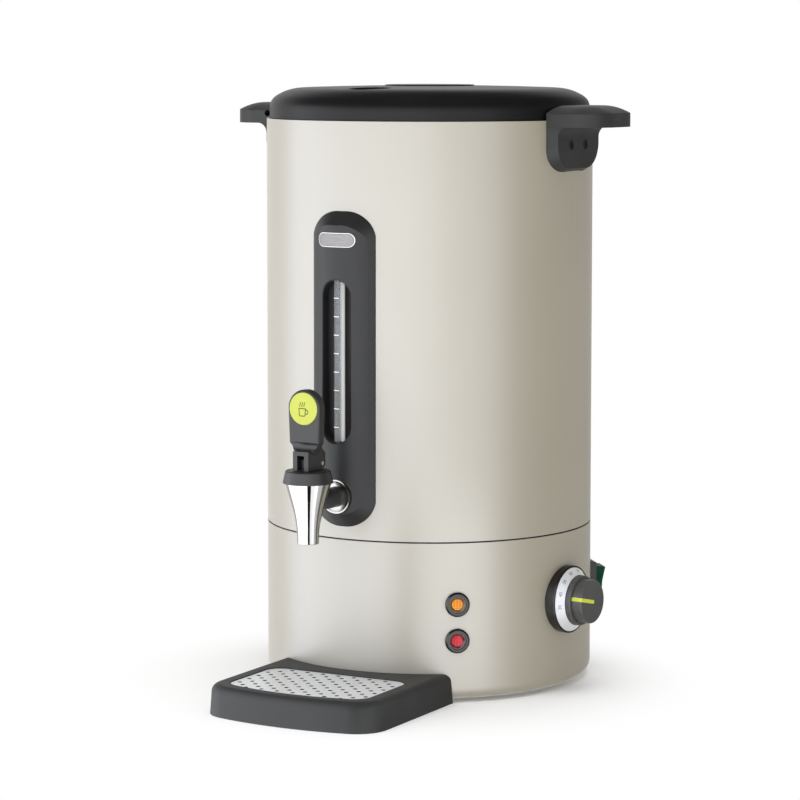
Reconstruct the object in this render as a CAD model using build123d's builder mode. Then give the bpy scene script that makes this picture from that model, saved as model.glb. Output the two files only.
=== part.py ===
from build123d import *
import os
from math import atan2, cos, degrees, hypot, isclose, radians, sin, sqrt

os.makedirs("parts", exist_ok=True)

# Hot drink dispenser, in millimetres. The body's axis is Z, the floor is Z = 0,
# the tap looks along -Y and the right-hand handle is at +X.

# Clearances shared by all pieces
overrun = 6.0            # how far a cut runs past what it cuts
match = 0.01             # tolerance for finding an edge by its size
snug_gap = 0.1           # fixed pieces on each other's round faces
moving_gap = 0.4         # pieces that move past each other
running_fit = 0.05       # a shaft in its hole, on the radius

# Body: base shell, seam, outer shell
body_diameter = 249.0
skirt_gap = 2.0          # lower edge of the skirt above the floor
skirt_radius = 9.0
skirt_land = 3.0         # flat ring under the skirt
seam_height = 119.2
seam_width = 1.2
seam_inset = 0.8
base_wall = 3.0
shell_wall = 1.5
shell_height = 307.3
spigot_wall = 2.5        # ring of the base shell that centres the outer shell
spigot_rise = 8.0
spigot_root = 6.0
ledge_width = 4.0        # turned-in ledge that carries the tank flange
ledge_thickness = 1.5

# Tank and its insulation
insulation_space = 16.8
tank_wall = 1.2
tank_corner_radius = 6.0
tank_flange_sink = 0.4   # flange top below the shell's top edge
tank_outlet_height = 17.2
jacket_gap = 0.6
jacket_headroom = 42.0

# Lid
lid_inset = 2.2          # lid radius inside the body radius
lid_rise = 24.6
lid_dome_sag = 2.7       # fall of the dome out to the lid's radius
lid_side_rise = 7.0      # upright side below the shoulder
lid_shoulder_reach = 26.0
lid_wall = 3.0
lid_lip_depth = 9.0
lid_lip_wall = 2.5
lid_lip_gap = 1.5
lid_seal_height = 4.0
lid_seal_lift = 1.5
lid_pad_diameter = 68.0  # low raised grip in the middle
lid_pad_rise = 0.6
lid_pad_edge = 0.5
lid_dish_diameter = 33.0  # round finger dish towards the tap
lid_dish_reach = 87.0
lid_dish_depth = 6.0
lid_dish_wall = 3.0
lid_dish_edge = 1.0

# Handles
handle_reach = 39.2
handle_width = 68.0
grip_drop = 4.8          # underside of the grip below the shell's top edge
grip_thickness = 10.2
grip_crown = 5.6
grip_crown_reach = 20.0  # in from the grip's edge to the level middle
grip_crown_steps = 3
grip_corner_radius = 24.0
grip_edge_radius = 0.8
handle_face_rise = 4.2   # flat face of the foot, out from the body
handle_face_width = 64.3
handle_foot_drop = 35.7
handle_foot_spread = 2.1
handle_foot_corner = 19.0
handle_cove_radius = 8.0
handle_screw_spacing = 22.0
handle_screw_drop = 18.1
handle_screw_diameter = 4.0
handle_head_diameter = 7.0
handle_head_height = 1.0
handle_recess_depth = 1.4
nut_plate_width = 36.0
nut_plate_height = 16.0
nut_plate_thickness = 2.4
peg_hole_diameter = 5.0  # blind hole in the left-hand grip's end
peg_hole_depth = 10.0
peg_hole_drop = 2.6      # below the grip's edge
peg_hole_reach = 2.2

# Gauge panel and sight tube
panel_seam_gap = 8.8
panel_height = 233.0
panel_width = 54.8
panel_face_width = 46.0
panel_rise = 10.5        # middle of the panel, out from the body
panel_face_sag = 9.0
panel_top_corner_share = 0.88
panel_low_corner_share = 0.94
window_rise_share = 0.27  # of the panel's height, below the window
window_height_share = 0.514
window_width = 24.6
window_edge = 0.8
trough_width = 28.0
trough_sink = 2.5        # trough behind the window, into the body
channel_sink = 0.3
tube_diameter = 8.0
tube_wall = 1.0
tube_gap = 0.5
tube_collar_gap = 5.6206  # tube's lower end above the collar
tube_head = 11.0
seal_wall = 1.2
seal_length = 6.0
trough_margin = 3.0
gauge_port_diameter = 4.0
badge_width = 31.6
badge_height = 10.5
badge_drop_share = 0.089  # of the panel's height, above the badge's middle
badge_sink = 0.6
badge_rise = 0.7

# Tap: shank, spout, bonnet
outlet_rise = 23.4       # shank above the panel's lower end
tap_reach = 46.7         # tap axis out from the body
shank_diameter = 15.0
shank_bore_diameter = 9.0
shank_tail = 13.0        # threaded end inside the tank wall
collar_diameter = 25.0
collar_depth = 3.2
collar_sink = 3.4
collar_dish = 0.8
collar_lip = 1.0
dish_middle_share = 0.7  # of the collar's dish, half-way out
spacer_wall = 2.0
washer_diameter = 24.0
washer_thickness = 4.0
shank_nut_across = 24.0
shank_nut_height = 7.0
spout_top_rise = 15.0    # above the shank
spout_length = 44.6
spout_top_diameter = 34.2
spout_tip_diameter = 16.0
spout_neck_rise = 15.0   # straight end of the spout
spout_neck_radius = 90.0
spout_edge = 0.6
chamber_diameter = 17.0
valve_seat_drop = 9.0    # seat below the shank's axis
outlet_diameter = 10.0
port_wall = 0.7          # wall of the chamber left in front of the shank
bonnet_height = 9.0
bonnet_low_diameter = 36.8
bonnet_top_diameter = 32.8
bonnet_edge = 1.2
spigot_depth = 6.0
spring_pocket_diameter = 12.8
spring_pocket_rise = 1.0

# Tap: lever, stem, spring
stem_diameter = 5.0
seat_gap = 0.3
seat_diameter = 14.8
seat_height = 7.7
seat_edge = 1.0
stem_socket = 2.8
tongue_lift = 0.6
tongue_length = 9.2
tongue_thickness = 5.2
tongue_cap = 3.4
spring_wire = 1.0
spring_diameter = 9.4
spring_turns = 6
pivot_offset = 8.8       # pivot pin behind the tap axis
pivot_rise = 4.6
pivot_pin_diameter = 3.2
pivot_pin_proud = 0.4
lug_half_length = 3.1
link_pin_diameter = 3.0
link_pin_bite = 2.0
link_slack = 0.15
lever_travel = 25.0      # degrees
neck_width = 13.2
neck_reach = 9.8         # front of the neck before the tap axis
neck_height = 16.0
neck_rear_height = 12.0
fork_slot_width = 6.0
fork_slot_rise = 11.5
head_reach = 5.8
head_thickness = 8.3
head_low_rise = 21.0
head_top_rise = 59.0
head_top_width = 27.4
head_low_width = 25.4
head_edge = 1.8
groove_radius = 3.8
groove_rise = 18.0
groove_reach = 8.3
disc_diameter = 23.4
disc_drop = 13.7         # centre below the lever's top
disc_thickness = 1.2
disc_proud = 0.3

# Drip tray and grid
tray_turn = 2.6          # degrees, loose tray turned about the body's axis
tray_shift = 2.6         # and standing a little to the right
tray_width = 143.0
tray_reach = 106.0       # middle of the front edge, out from the body
tray_bow = 11.0
tray_corner_radius = 24.0
tray_height = 22.0
tray_draft = 4.0         # degrees
tray_rim_radius = 6.0
tray_floor = 3.0
grid_side_rim = 14.1
grid_rear_rim = 16.6
grid_front_rim = 13.0
grid_bow = 9.5
grid_front_corner = 13.0
grid_rear_corner = 12.0
grid_sink = 0.7
grid_thickness = 0.8
grid_seat_width = 4.0
hole_pitch = 13.1
hole_diameter = 3.4
hole_side_margin = 4.9
hole_rear_margin = 4.2
hole_front_margin = 6.4

# Dial, thermostat, knob
knob_height = 68.5
knob_angle = 86.3        # degrees from the tap, towards the right-hand handle
bezel_diameter = 50.7
bezel_rise = 5.8
bezel_depth = 4.5
bezel_edge = 0.8
dial_outer_diameter = 47.8  # sloping ring with the printed scale
dial_inner_diameter = 37.8
dial_rise = 5.2          # inner edge of the ring above its outer edge
dial_thickness = 1.2
boss_diameter = 12.0
boss_sink = 0.6          # boss end below the bezel's hub
thermostat_size = 34.0
thermostat_depth = 28.0
thermostat_setback = 6.0
thermostat_corner = 3.0
shaft_diameter = 6.0
shaft_sink = 6.0         # shaft's length inside the thermostat
knob_gap = 0.4           # knob above the dial ring
knob_flange_diameter = 37.5
knob_flange_height = 4.0
knob_grip_diameter = 32.6
knob_length = 12.6
knob_edge = 1.2
knob_cap = 3.0           # solid thickness in front of the shaft
pointer_width = 2.8
pointer_depth = 1.0
pointer_proud = 0.3
pointer_tilt = 12.6      # degrees above the nine o'clock line
capillary_diameter = 1.8
capillary_bend = 10.0
capillary_setback = 32.5
capillary_run = 33.0
bulb_diameter = 6.4
bulb_length = 60.0

# Pilot lamps
lamp_angle = 40.4        # degrees
amber_height = 73.4
red_height = 46.4
lamp_bezel_diameter = 18.2
lamp_bezel_rise = 2.6
lamp_bezel_edge = 1.2
lamp_barrel_diameter = 14.6
lamp_barrel_length = 16.0
lens_diameter = 12.6
lens_length = 7.0
lens_sink = 0.6
lens_edge = 1.6
lamp_body_length = 18.0
lamp_tab_width = 4.0
lamp_tab_length = 7.0
lamp_tab_thickness = 0.8

# Rocker switch
switch_angle = 133.3     # degrees
switch_height = 67.0
switch_flange_width = 24.0
switch_flange_height = 33.0
switch_rise = 6.5
switch_hood = 2.6
switch_barrel_width = 21.6
switch_barrel_height = 28.4
switch_depth = 26.0
rocker_width = 16.8
rocker_length = 22.0
rocker_pivot_rise = 4.0
rocker_middle_rise = 12.4
rocker_end_rise = 13.2
rocker_tilt = 8.0        # degrees, each way
rocker_belly = 2.0       # depth of the rocker behind its pins
rocker_pin_diameter = 3.0
rocker_pin_bite = 1.8
switch_pocket_slack = 1.5
switch_pocket_depth = 5.0

# Heater under the tank
heater_bulb_gap = 13.8   # plate's edge inside the sensing bulb
heater_plate_thickness = 6.0
element_inset = 17.0     # ring's middle inside the plate's edge
element_diameter = 8.0
element_gap = 0.1
element_sweep = 300.0    # degrees
element_tail = 16.0
cutout_diameter = 22.0
cutout_height = 9.0
cutout_reach_share = 0.5185185  # of the room inside the element
cutout_tab_width = 6.3
cutout_tab_length = 8.0
cutout_tab_thickness = 0.8
tie_diameter = 6.0
tie_nut_across = 10.0
tie_nut_height = 4.0

# Underside: base plate, feet, gland, terminals
plate_recess = 6.0       # plate's upper face above the skirt's lower edge
plate_thickness = 1.5
flange_width = 12.5
flange_thickness = 3.0
foot_count = 4
foot_diameter = 24.0
foot_setback = 34.0      # feet, in from the body
foot_edge = 1.5
foot_spigot_diameter = 8.0
foot_spigot_rise = 3.0
base_screw_count = 4
base_screw_diameter = 3.5
base_head_diameter = 7.0
base_head_height = 2.0
base_screw_setback = 18.2
gland_angle = 180.0      # degrees
gland_height = 30.0
gland_diameter = 22.0
gland_rise = 7.0
gland_edge = 1.6
gland_thread_diameter = 16.0
gland_bore_diameter = 8.0
gland_length = 18.0
gland_nut_diameter = 21.0
gland_nut_height = 4.0
terminal_length = 46.0
terminal_depth = 18.0
terminal_height = 16.0
terminal_reach = 58.0
terminal_ways = 3
terminal_well_diameter = 6.0
terminal_well_depth = 7.0
terminal_edge = 1.0

# Places worked out from the sizes above
body_radius = body_diameter / 2
base_bore = body_radius - base_wall
shell_bore = body_radius - shell_wall
seam_low = seam_height - seam_width / 2
seam_high = seam_height + seam_width / 2
shell_top = seam_high + shell_height
spigot_radius = shell_bore - snug_gap
plate_top = skirt_gap + plate_recess
plate_low = plate_top - plate_thickness
plate_recess_radius = body_radius - skirt_radius - skirt_land
flange_bore_radius = plate_recess_radius - flange_width
tank_outer_radius = shell_bore - insulation_space
tank_radius = tank_outer_radius - tank_wall
tank_flange_top = shell_top - tank_flange_sink
tank_flange_low = tank_flange_top - tank_wall
panel_low = seam_high + panel_seam_gap
panel_top = panel_low + panel_height
shank_height = panel_low + outlet_rise
tank_floor_top = shank_height - tank_outlet_height
tank_floor_low = tank_floor_top - tank_wall
tap_y = -(body_radius + tap_reach)
wall_cut_depth = base_wall + overrun


def wall_plane(angle, height, distance=body_radius):
    """Plane on the body's wall: local z points outwards and local y points up."""
    across = (cos(radians(angle)), sin(radians(angle)), 0)
    outwards = (sin(radians(angle)), -cos(radians(angle)), 0)
    origin = (distance * outwards[0], distance * outwards[1], height)
    return Plane(origin=origin, x_dir=across, z_dir=outwards)


def cut_body(gap):
    """Cut the body's round face, grown by a gap, out of the piece being made."""
    Cylinder(body_radius + gap, 4 * shell_top, mode=Mode.SUBTRACT)


def ring_edges(builder, radius, height):
    """Round edges of one radius at one height."""
    rounds = builder.edges().filter_by(GeomType.CIRCLE)
    at_height = rounds.filter_by(lambda edge: isclose(edge.arc_center.Z, height, abs_tol=match))
    return at_height.filter_by(lambda edge: isclose(edge.radius, radius, abs_tol=match))


def keep(builder, label):
    """Name a finished piece and write its file."""
    builder.part.label = label
    export_step(builder.part, f"parts/{label}.step")


knob_plane = wall_plane(knob_angle, knob_height)
knob_axis = Axis(knob_plane.origin, knob_plane.z_dir)
switch_plane = wall_plane(switch_angle, switch_height)
gland_plane = wall_plane(gland_angle, gland_height)
lamp_planes = [wall_plane(lamp_angle, height) for height in (amber_height, red_height)]
front_plane = Plane.XZ
shank_plane = wall_plane(0, shank_height, 0)

# Base shell: painted skirt with the plate recess below and the centring ring above
with BuildPart() as base_shell:
    with BuildSketch(Plane.XZ):
        with BuildLine():
            Polyline(
                (body_radius, seam_low),
                (body_radius, skirt_gap),
                (plate_recess_radius, skirt_gap),
                (plate_recess_radius, plate_top),
                (flange_bore_radius, plate_top),
                (flange_bore_radius, plate_top + flange_thickness),
                (base_bore, plate_top + flange_thickness),
                (base_bore, seam_low - spigot_root),
                (spigot_radius - spigot_wall, seam_low - spigot_root),
                (spigot_radius - spigot_wall, seam_high + spigot_rise),
                (spigot_radius, seam_high + spigot_rise),
                (spigot_radius, seam_low),
                close=True,
            )
        make_face()
    revolve(axis=Axis.Z)
    fillet(ring_edges(base_shell, body_radius, skirt_gap), radius=skirt_radius)
    with BuildSketch(knob_plane):
        Circle(boss_diameter / 2 + snug_gap)
    extrude(amount=wall_cut_depth, both=True, mode=Mode.SUBTRACT)
    for lamp_plane in lamp_planes:
        with BuildSketch(lamp_plane):
            Circle(lamp_barrel_diameter / 2 + snug_gap)
        extrude(amount=wall_cut_depth, both=True, mode=Mode.SUBTRACT)
    with BuildSketch(switch_plane):
        Rectangle(switch_barrel_width + 2 * snug_gap, switch_barrel_height + 2 * snug_gap)
    extrude(amount=wall_cut_depth, both=True, mode=Mode.SUBTRACT)
    with BuildSketch(gland_plane):
        Circle(gland_thread_diameter / 2 + snug_gap)
    extrude(amount=wall_cut_depth, both=True, mode=Mode.SUBTRACT)
    with BuildSketch(Plane.XY.offset(plate_top)):
        with PolarLocations(body_radius - base_screw_setback, base_screw_count, start_angle=45):
            Circle(base_screw_diameter / 2)
    extrude(amount=flange_thickness, mode=Mode.SUBTRACT)
keep(base_shell, "base_shell")

# Seam gasket: dark ring between base shell and outer shell
with BuildPart() as seam_gasket:
    with BuildSketch(Plane.XY.offset(seam_low)):
        Circle(body_radius - seam_inset)
        Circle(spigot_radius, mode=Mode.SUBTRACT)
    extrude(amount=seam_width)
keep(seam_gasket, "seam_gasket")

# Gauge places that the shell, the jacket and the panel share
window_rise = panel_height * window_rise_share
window_height = panel_height * window_height_share
window_low = panel_low + window_rise
window_top = window_low + window_height
window_middle = (window_low + window_top) / 2
channel_floor = body_radius - channel_sink
tube_y = -(channel_floor + tube_gap + tube_diameter / 2)
tube_low = shank_height + collar_diameter / 2 + tube_collar_gap
tube_top = window_top + tube_head
trough_low = tube_low - trough_margin
trough_top = tube_top + trough_margin
trough_middle = (trough_low + trough_top) / 2
handle_screw_height = shell_top - handle_screw_drop

# Outer shell: painted sheet tube with a turned-in ledge near its top
with BuildPart() as outer_shell:
    with BuildSketch(Plane.XZ):
        with BuildLine():
            Polyline(
                (body_radius, seam_high),
                (body_radius, shell_top),
                (shell_bore, shell_top),
                (shell_bore, tank_flange_low),
                (shell_bore - ledge_width, tank_flange_low),
                (shell_bore - ledge_width, tank_flange_low - ledge_thickness),
                (shell_bore, tank_flange_low - ledge_thickness),
                (shell_bore, seam_high),
                close=True,
            )
        make_face()
    revolve(axis=Axis.Z)
    with BuildSketch(shank_plane):
        Circle(shank_diameter / 2 + snug_gap)
    extrude(amount=body_radius + overrun, mode=Mode.SUBTRACT)
    with BuildSketch(front_plane):
        with Locations((0, trough_middle)):
            Rectangle(trough_width + 2 * snug_gap, trough_top - trough_low + 2 * snug_gap)
    extrude(amount=body_radius + overrun, mode=Mode.SUBTRACT)
    with BuildSketch(Plane.YZ):
        with Locations((-handle_screw_spacing / 2, handle_screw_height),
                       (handle_screw_spacing / 2, handle_screw_height)):
            Circle(handle_screw_diameter / 2 + snug_gap)
    extrude(amount=body_radius + overrun, both=True, mode=Mode.SUBTRACT)
keep(outer_shell, "outer_shell")

# Tank: deep-drawn vessel that hangs by its flange on the shell's ledge
with BuildPart() as tank:
    with BuildSketch(Plane.XZ):
        with BuildLine():
            Polyline(
                (0, tank_floor_low),
                (tank_outer_radius, tank_floor_low),
                (tank_outer_radius, tank_flange_low),
                (shell_bore - moving_gap, tank_flange_low),
                (shell_bore - moving_gap, tank_flange_top),
                (tank_radius, tank_flange_top),
                (tank_radius, tank_floor_top),
                (0, tank_floor_top),
                close=True,
            )
        make_face()
    revolve(axis=Axis.Z)
    fillet(ring_edges(tank, tank_outer_radius, tank_floor_low), radius=tank_corner_radius)
    fillet(ring_edges(tank, tank_radius, tank_floor_top), radius=tank_corner_radius - tank_wall)
    with BuildSketch(shank_plane):
        Circle(shank_diameter / 2 + snug_gap)
    extrude(amount=body_radius, mode=Mode.SUBTRACT)
keep(tank, "tank")

# Insulation jacket between tank and shell
spacer_radius = shank_diameter / 2 + snug_gap + spacer_wall
jacket_low = seam_high + spigot_rise + jacket_gap
with BuildPart() as insulation_jacket:
    with BuildSketch(Plane.XY.offset(jacket_low)):
        Circle(spigot_radius - spigot_wall)
        Circle(tank_outer_radius + jacket_gap, mode=Mode.SUBTRACT)
    extrude(amount=shell_top - jacket_headroom - jacket_low)
    with BuildSketch(shank_plane):
        Circle(spacer_radius + jacket_gap)
    extrude(amount=body_radius, mode=Mode.SUBTRACT)
keep(insulation_jacket, "insulation_jacket")

# Lid: domed cover with a finger dish, a low grip pad and a locating lip
lid_low = shell_top + moving_gap
lid_radius = body_radius - lid_inset
lip_radius = tank_radius - lid_lip_gap
lip_low = tank_flange_top - lid_lip_depth
lid_shoulder_start = lid_radius - lid_shoulder_reach
lid_dome_radius = (lid_radius ** 2 + lid_dome_sag ** 2) / (2 * lid_dome_sag)


def dome_height(reach, wall=0):
    """Height of the lid's dome at a distance from the axis, a wall below its outer face."""
    return lid_low + lid_rise - lid_dome_radius + sqrt((lid_dome_radius - wall) ** 2 - reach ** 2)


def lid_form(radius, low, wall):
    """Solid dome of the lid, drawn a wall inside its outer face."""
    side_top = lid_low + lid_side_rise
    dome_edge = dome_height(lid_shoulder_start, wall)
    shoulder_middle = (lid_shoulder_start + (radius - lid_shoulder_start) * cos(radians(45)),
                       side_top + (dome_edge - side_top) * sin(radians(45)))
    dome_slope = (-sqrt((lid_dome_radius - wall) ** 2 - lid_shoulder_start ** 2), lid_shoulder_start)
    with BuildSketch(Plane.XZ) as profile:
        with BuildLine():
            Polyline((0, dome_height(0, wall)), (0, low), (radius, low), (radius, side_top))
            Spline((radius, side_top), shoulder_middle, (lid_shoulder_start, dome_edge),
                   tangents=((0, 1), dome_slope))
            ThreePointArc((lid_shoulder_start, dome_edge),
                          (lid_shoulder_start / 2, dome_height(lid_shoulder_start / 2, wall)),
                          (0, dome_height(0, wall)))
        make_face()
    revolve(profile.sketch, axis=Axis.Z)


dish_radius = lid_dish_diameter / 2
dish_ball_radius = (dish_radius ** 2 + lid_dish_depth ** 2) / (2 * lid_dish_depth)
dish_ball_height = dome_height(lid_dish_reach) - lid_dish_depth + dish_ball_radius
dish_ball_place = (0, -lid_dish_reach, dish_ball_height)
with BuildPart() as lid_hollow:
    lid_form(lid_radius - lid_wall, lid_low - overrun, lid_wall)
    with Locations(dish_ball_place):
        Sphere(dish_ball_radius + lid_dish_wall, rotation=(0, -90, 0), mode=Mode.SUBTRACT)

with BuildPart() as lid:
    lid_form(lid_radius, lid_low, 0)
    with BuildSketch(Plane.XY.offset(dome_height(lid_pad_diameter))):
        Circle(lid_pad_diameter / 2)
    extrude(amount=dome_height(0) + lid_pad_rise - dome_height(lid_pad_diameter))
    pad_top = dome_height(0) + lid_pad_rise
    fillet(ring_edges(lid, lid_pad_diameter / 2, pad_top), radius=lid_pad_edge)
    with Locations(dish_ball_place):
        Sphere(dish_ball_radius, rotation=(0, -90, 0), mode=Mode.SUBTRACT)
    dish_bottom = (0, -lid_dish_reach, dome_height(lid_dish_reach) - lid_dish_depth)
    dish_face = lid.faces().sort_by_distance(dish_bottom)[0]
    fillet(dish_face.edges(), radius=lid_dish_edge)
    add(lid_hollow.part, mode=Mode.SUBTRACT)
    with BuildSketch(Plane.XY.offset(lip_low)):
        Circle(lip_radius)
        Circle(lip_radius - lid_lip_wall, mode=Mode.SUBTRACT)
    extrude(amount=dome_height(lip_radius) - lid_wall / 2 - lip_low)
keep(lid, "lid")

# Lid seal: ring on the locating lip, just inside the tank
with BuildPart() as lid_seal:
    with BuildSketch(Plane.XY.offset(lip_low + lid_seal_lift)):
        Circle(tank_radius - moving_gap)
        Circle(lip_radius, mode=Mode.SUBTRACT)
    extrude(amount=lid_seal_height)
keep(lid_seal, "lid_seal")

# Handles: a crowned grip on a drafted foot with two screws
grip_low = shell_top - grip_drop
grip_edge = grip_low + grip_thickness
handle_root = sqrt(body_radius ** 2 - (handle_width / 2) ** 2)
handle_inner = handle_root - overrun
handle_tip = body_radius + handle_reach
handle_face = body_radius + handle_face_rise
foot_low = shell_top - handle_foot_drop
foot_side_slope = (handle_width - handle_face_width) / 2 / (handle_face - handle_root)
foot_low_slope = handle_foot_spread / handle_face_rise
screw_places = [(-handle_screw_spacing / 2, handle_screw_height),
                (handle_screw_spacing / 2, handle_screw_height)]


def grip_section(rise, inset):
    """Outline of the left-hand grip at a height over its underside, drawn in from its edge."""
    tip = handle_tip - inset
    with BuildSketch(Plane.XY.offset(grip_low + rise)) as section:
        with Locations((-(handle_inner + tip) / 2, 0)):
            Rectangle(tip - handle_inner, handle_width - 2 * inset)
        fillet(section.vertices().sort_by(Axis.X)[:2], radius=grip_corner_radius - inset)
    return section.sketch


def crown_section(step):
    """Outline of the crown at one of its steps, from the grip's edge to the level middle."""
    share = step / grip_crown_steps
    return grip_section(grip_thickness + grip_crown * (1 - (1 - share) ** 2), grip_crown_reach * share)


def foot_section(distance):
    """Outline of the left-hand foot at a distance from the body's axis."""
    back = handle_face - distance
    width = handle_face_width + 2 * back * foot_side_slope
    low = foot_low - back * foot_low_slope
    top = grip_low + grip_thickness / 2
    with BuildSketch(Plane.YZ.offset(-distance)) as section:
        with Locations((0, (low + top) / 2)):
            Rectangle(width, top - low)
        fillet(section.vertices().sort_by(Axis.Y)[:2], radius=handle_foot_corner)
    return section.sketch


def make_handle(label, right_hand):
    """One carrying handle, drawn at the left and mirrored for the right."""
    with BuildPart() as handle:
        extrude(grip_section(0, 0), amount=grip_thickness)
        loft([crown_section(step) for step in range(grip_crown_steps + 1)])
        fillet(handle.edges().filter_by_position(Axis.Z, grip_edge, grip_edge).sort_by(Axis.X)[:-1],
               radius=grip_edge_radius)
        loft([foot_section(handle_face), foot_section(handle_inner)], ruled=True)
        cove_x = handle_face + handle_cove_radius
        cove_low = grip_low - handle_cove_radius
        cove_top = grip_low + grip_thickness / 2
        with BuildSketch(Plane.XZ):
            with BuildLine():
                CenterArc((-cove_x, cove_low), handle_cove_radius, 90, -90)
                Polyline(
                    (-handle_face, cove_low),
                    (handle_cove_radius - handle_face, cove_low),
                    (handle_cove_radius - handle_face, cove_top),
                    (-cove_x, cove_top),
                    (-cove_x, grip_low),
                )
            make_face()
        extrude(amount=handle_face_width / 2, both=True)
        cut_body(snug_gap)
        with BuildSketch(Plane.YZ.offset(-handle_face)):
            with Locations(*screw_places):
                Circle(handle_head_diameter / 2 + snug_gap)
        extrude(amount=handle_recess_depth, mode=Mode.SUBTRACT)
        with BuildSketch(Plane.YZ.offset(-handle_face)):
            with Locations(*screw_places):
                Circle(handle_screw_diameter / 2)
        extrude(amount=handle_face_rise + overrun, mode=Mode.SUBTRACT)
        if right_hand:
            mirror(about=Plane.YZ, mode=Mode.REPLACE)
        else:
            with BuildSketch(Plane.XZ.offset(handle_width / 2)):
                with Locations((-(body_radius + peg_hole_reach), grip_edge - peg_hole_drop)):
                    Circle(peg_hole_diameter / 2)
            extrude(amount=-peg_hole_depth, mode=Mode.SUBTRACT)
    keep(handle, label)


make_handle("handle_right", True)
make_handle("handle_left", False)

# Handle screws, two in each foot, and the nut plates that they draw up inside the shell
with BuildPart() as handle_screws:
    for side in (1, -1):
        with BuildSketch(Plane.YZ.offset(side * (handle_face - handle_recess_depth))):
            with Locations(*screw_places):
                Circle(handle_head_diameter / 2)
        extrude(amount=side * handle_head_height)
        with BuildSketch(Plane.YZ.offset(side * (shell_bore - nut_plate_thickness))):
            with Locations(*screw_places):
                Circle(handle_screw_diameter / 2)
        extrude(amount=side * (handle_face - handle_recess_depth - shell_bore + nut_plate_thickness))
keep(handle_screws, "handle_screws")

with BuildPart() as handle_nut_plates:
    with BuildSketch(Plane.YZ):
        with Locations((0, handle_screw_height)):
            Rectangle(nut_plate_width, nut_plate_height)
        with Locations(*screw_places):
            Circle(handle_screw_diameter / 2, mode=Mode.SUBTRACT)
    extrude(amount=body_radius, both=True)
    Cylinder(shell_bore - nut_plate_thickness, 2 * shell_top, mode=Mode.SUBTRACT)
    Cylinder(shell_bore - snug_gap, 2 * shell_top, mode=Mode.INTERSECT)
keep(handle_nut_plates, "handle_nut_plates")

# Gauge panel: bevelled moulding with a rounded front, a window and a round tap recess
panel_root = sqrt(body_radius ** 2 - (panel_width / 2) ** 2)
panel_front = body_radius + panel_rise
panel_bevel_depth = panel_front - panel_face_sag - panel_root
panel_bevel_width = (panel_width - panel_face_width) / 2
panel_bevel = degrees(atan2(panel_bevel_width, panel_bevel_depth))
panel_end_growth = (body_radius - panel_root) * panel_bevel_width / panel_bevel_depth
panel_round_radius = ((panel_face_width / 2) ** 2 + panel_face_sag ** 2) / (2 * panel_face_sag)
panel_round_y = panel_round_radius - panel_front
panel_middle = (panel_low + panel_top) / 2
badge_middle = panel_top - panel_height * badge_drop_share
shank_radius = shank_diameter / 2
collar_seat = panel_front - collar_sink


def panel_round(radius, mode):
    """Upright cylinder on the axis of the panel's rounded front."""
    with Locations((0, panel_round_y, panel_middle)):
        Cylinder(radius, 2 * panel_height, mode=mode)


with BuildPart() as badge_pocket:
    with BuildSketch(Plane.XZ.offset(panel_front - panel_face_sag)):
        with Locations((0, badge_middle)):
            SlotOverall(badge_width + 2 * snug_gap, badge_height + 2 * snug_gap)
    extrude(amount=panel_face_sag + overrun)
    panel_round(panel_round_radius - badge_sink, Mode.SUBTRACT)

with BuildPart() as gauge_panel:
    with BuildSketch(Plane.XZ.offset(panel_root)) as outline:
        with Locations((0, panel_middle)):
            Rectangle(panel_width, panel_height + 2 * panel_end_growth)
        low_corners = outline.vertices().sort_by(Axis.Y)[:2]
        fillet(low_corners, radius=panel_low_corner_share * panel_width / 2)
        top_corners = outline.vertices().sort_by(Axis.Y)[-2:]
        fillet(top_corners, radius=panel_top_corner_share * panel_width / 2)
    extrude(amount=panel_front - panel_root, taper=panel_bevel)
    panel_round(panel_round_radius, Mode.INTERSECT)
    cut_body(snug_gap)
    with BuildSketch(Plane.XZ.offset(body_radius - trough_sink)):
        with Locations((0, trough_middle)):
            Rectangle(trough_width, trough_top - trough_low)
    extrude(amount=trough_sink + panel_rise / 2)
    with BuildSketch(Plane.XZ.offset(channel_floor)):
        with Locations((0, window_middle)):
            SlotOverall(window_height, window_width, rotation=90)
    extrude(amount=panel_rise + overrun, mode=Mode.SUBTRACT)
    round_face = gauge_panel.faces().sort_by(Axis.Y)[0]
    chamfer(round_face.inner_wires()[0].edges(), length=window_edge)
    with BuildSketch(Plane.XY.offset(tube_low)):
        with Locations((0, tube_y)):
            Circle(tube_diameter / 2 + snug_gap)
    extrude(amount=tube_top - tube_low, mode=Mode.SUBTRACT)
    for seal_low in (tube_low, tube_top - seal_length):
        with BuildSketch(Plane.XY.offset(seal_low)):
            with Locations((0, tube_y)):
                Circle(tube_diameter / 2 + seal_wall)
        extrude(amount=seal_length, mode=Mode.SUBTRACT)
    with BuildSketch(Plane.XY.offset(shank_height)):
        with Locations((0, tube_y)):
            Circle(gauge_port_diameter / 2)
    extrude(amount=tube_low - shank_height, mode=Mode.SUBTRACT)
    with BuildSketch(shank_plane):
        Circle(shank_radius + snug_gap)
    extrude(amount=panel_front + overrun, mode=Mode.SUBTRACT)
    with BuildSketch(wall_plane(0, shank_height, collar_seat)):
        Circle(collar_diameter / 2 + moving_gap)
    extrude(amount=collar_sink + overrun, mode=Mode.SUBTRACT)
    add(badge_pocket.part, mode=Mode.SUBTRACT)
keep(gauge_panel, "gauge_panel")

# Sight tube, its two seals and the blank plate above the window
with BuildPart() as sight_tube:
    with BuildSketch(Plane.XY.offset(tube_low)):
        with Locations((0, tube_y)):
            Circle(tube_diameter / 2)
            Circle(tube_diameter / 2 - tube_wall, mode=Mode.SUBTRACT)
    extrude(amount=tube_top - tube_low)
keep(sight_tube, "sight_tube")

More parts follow.
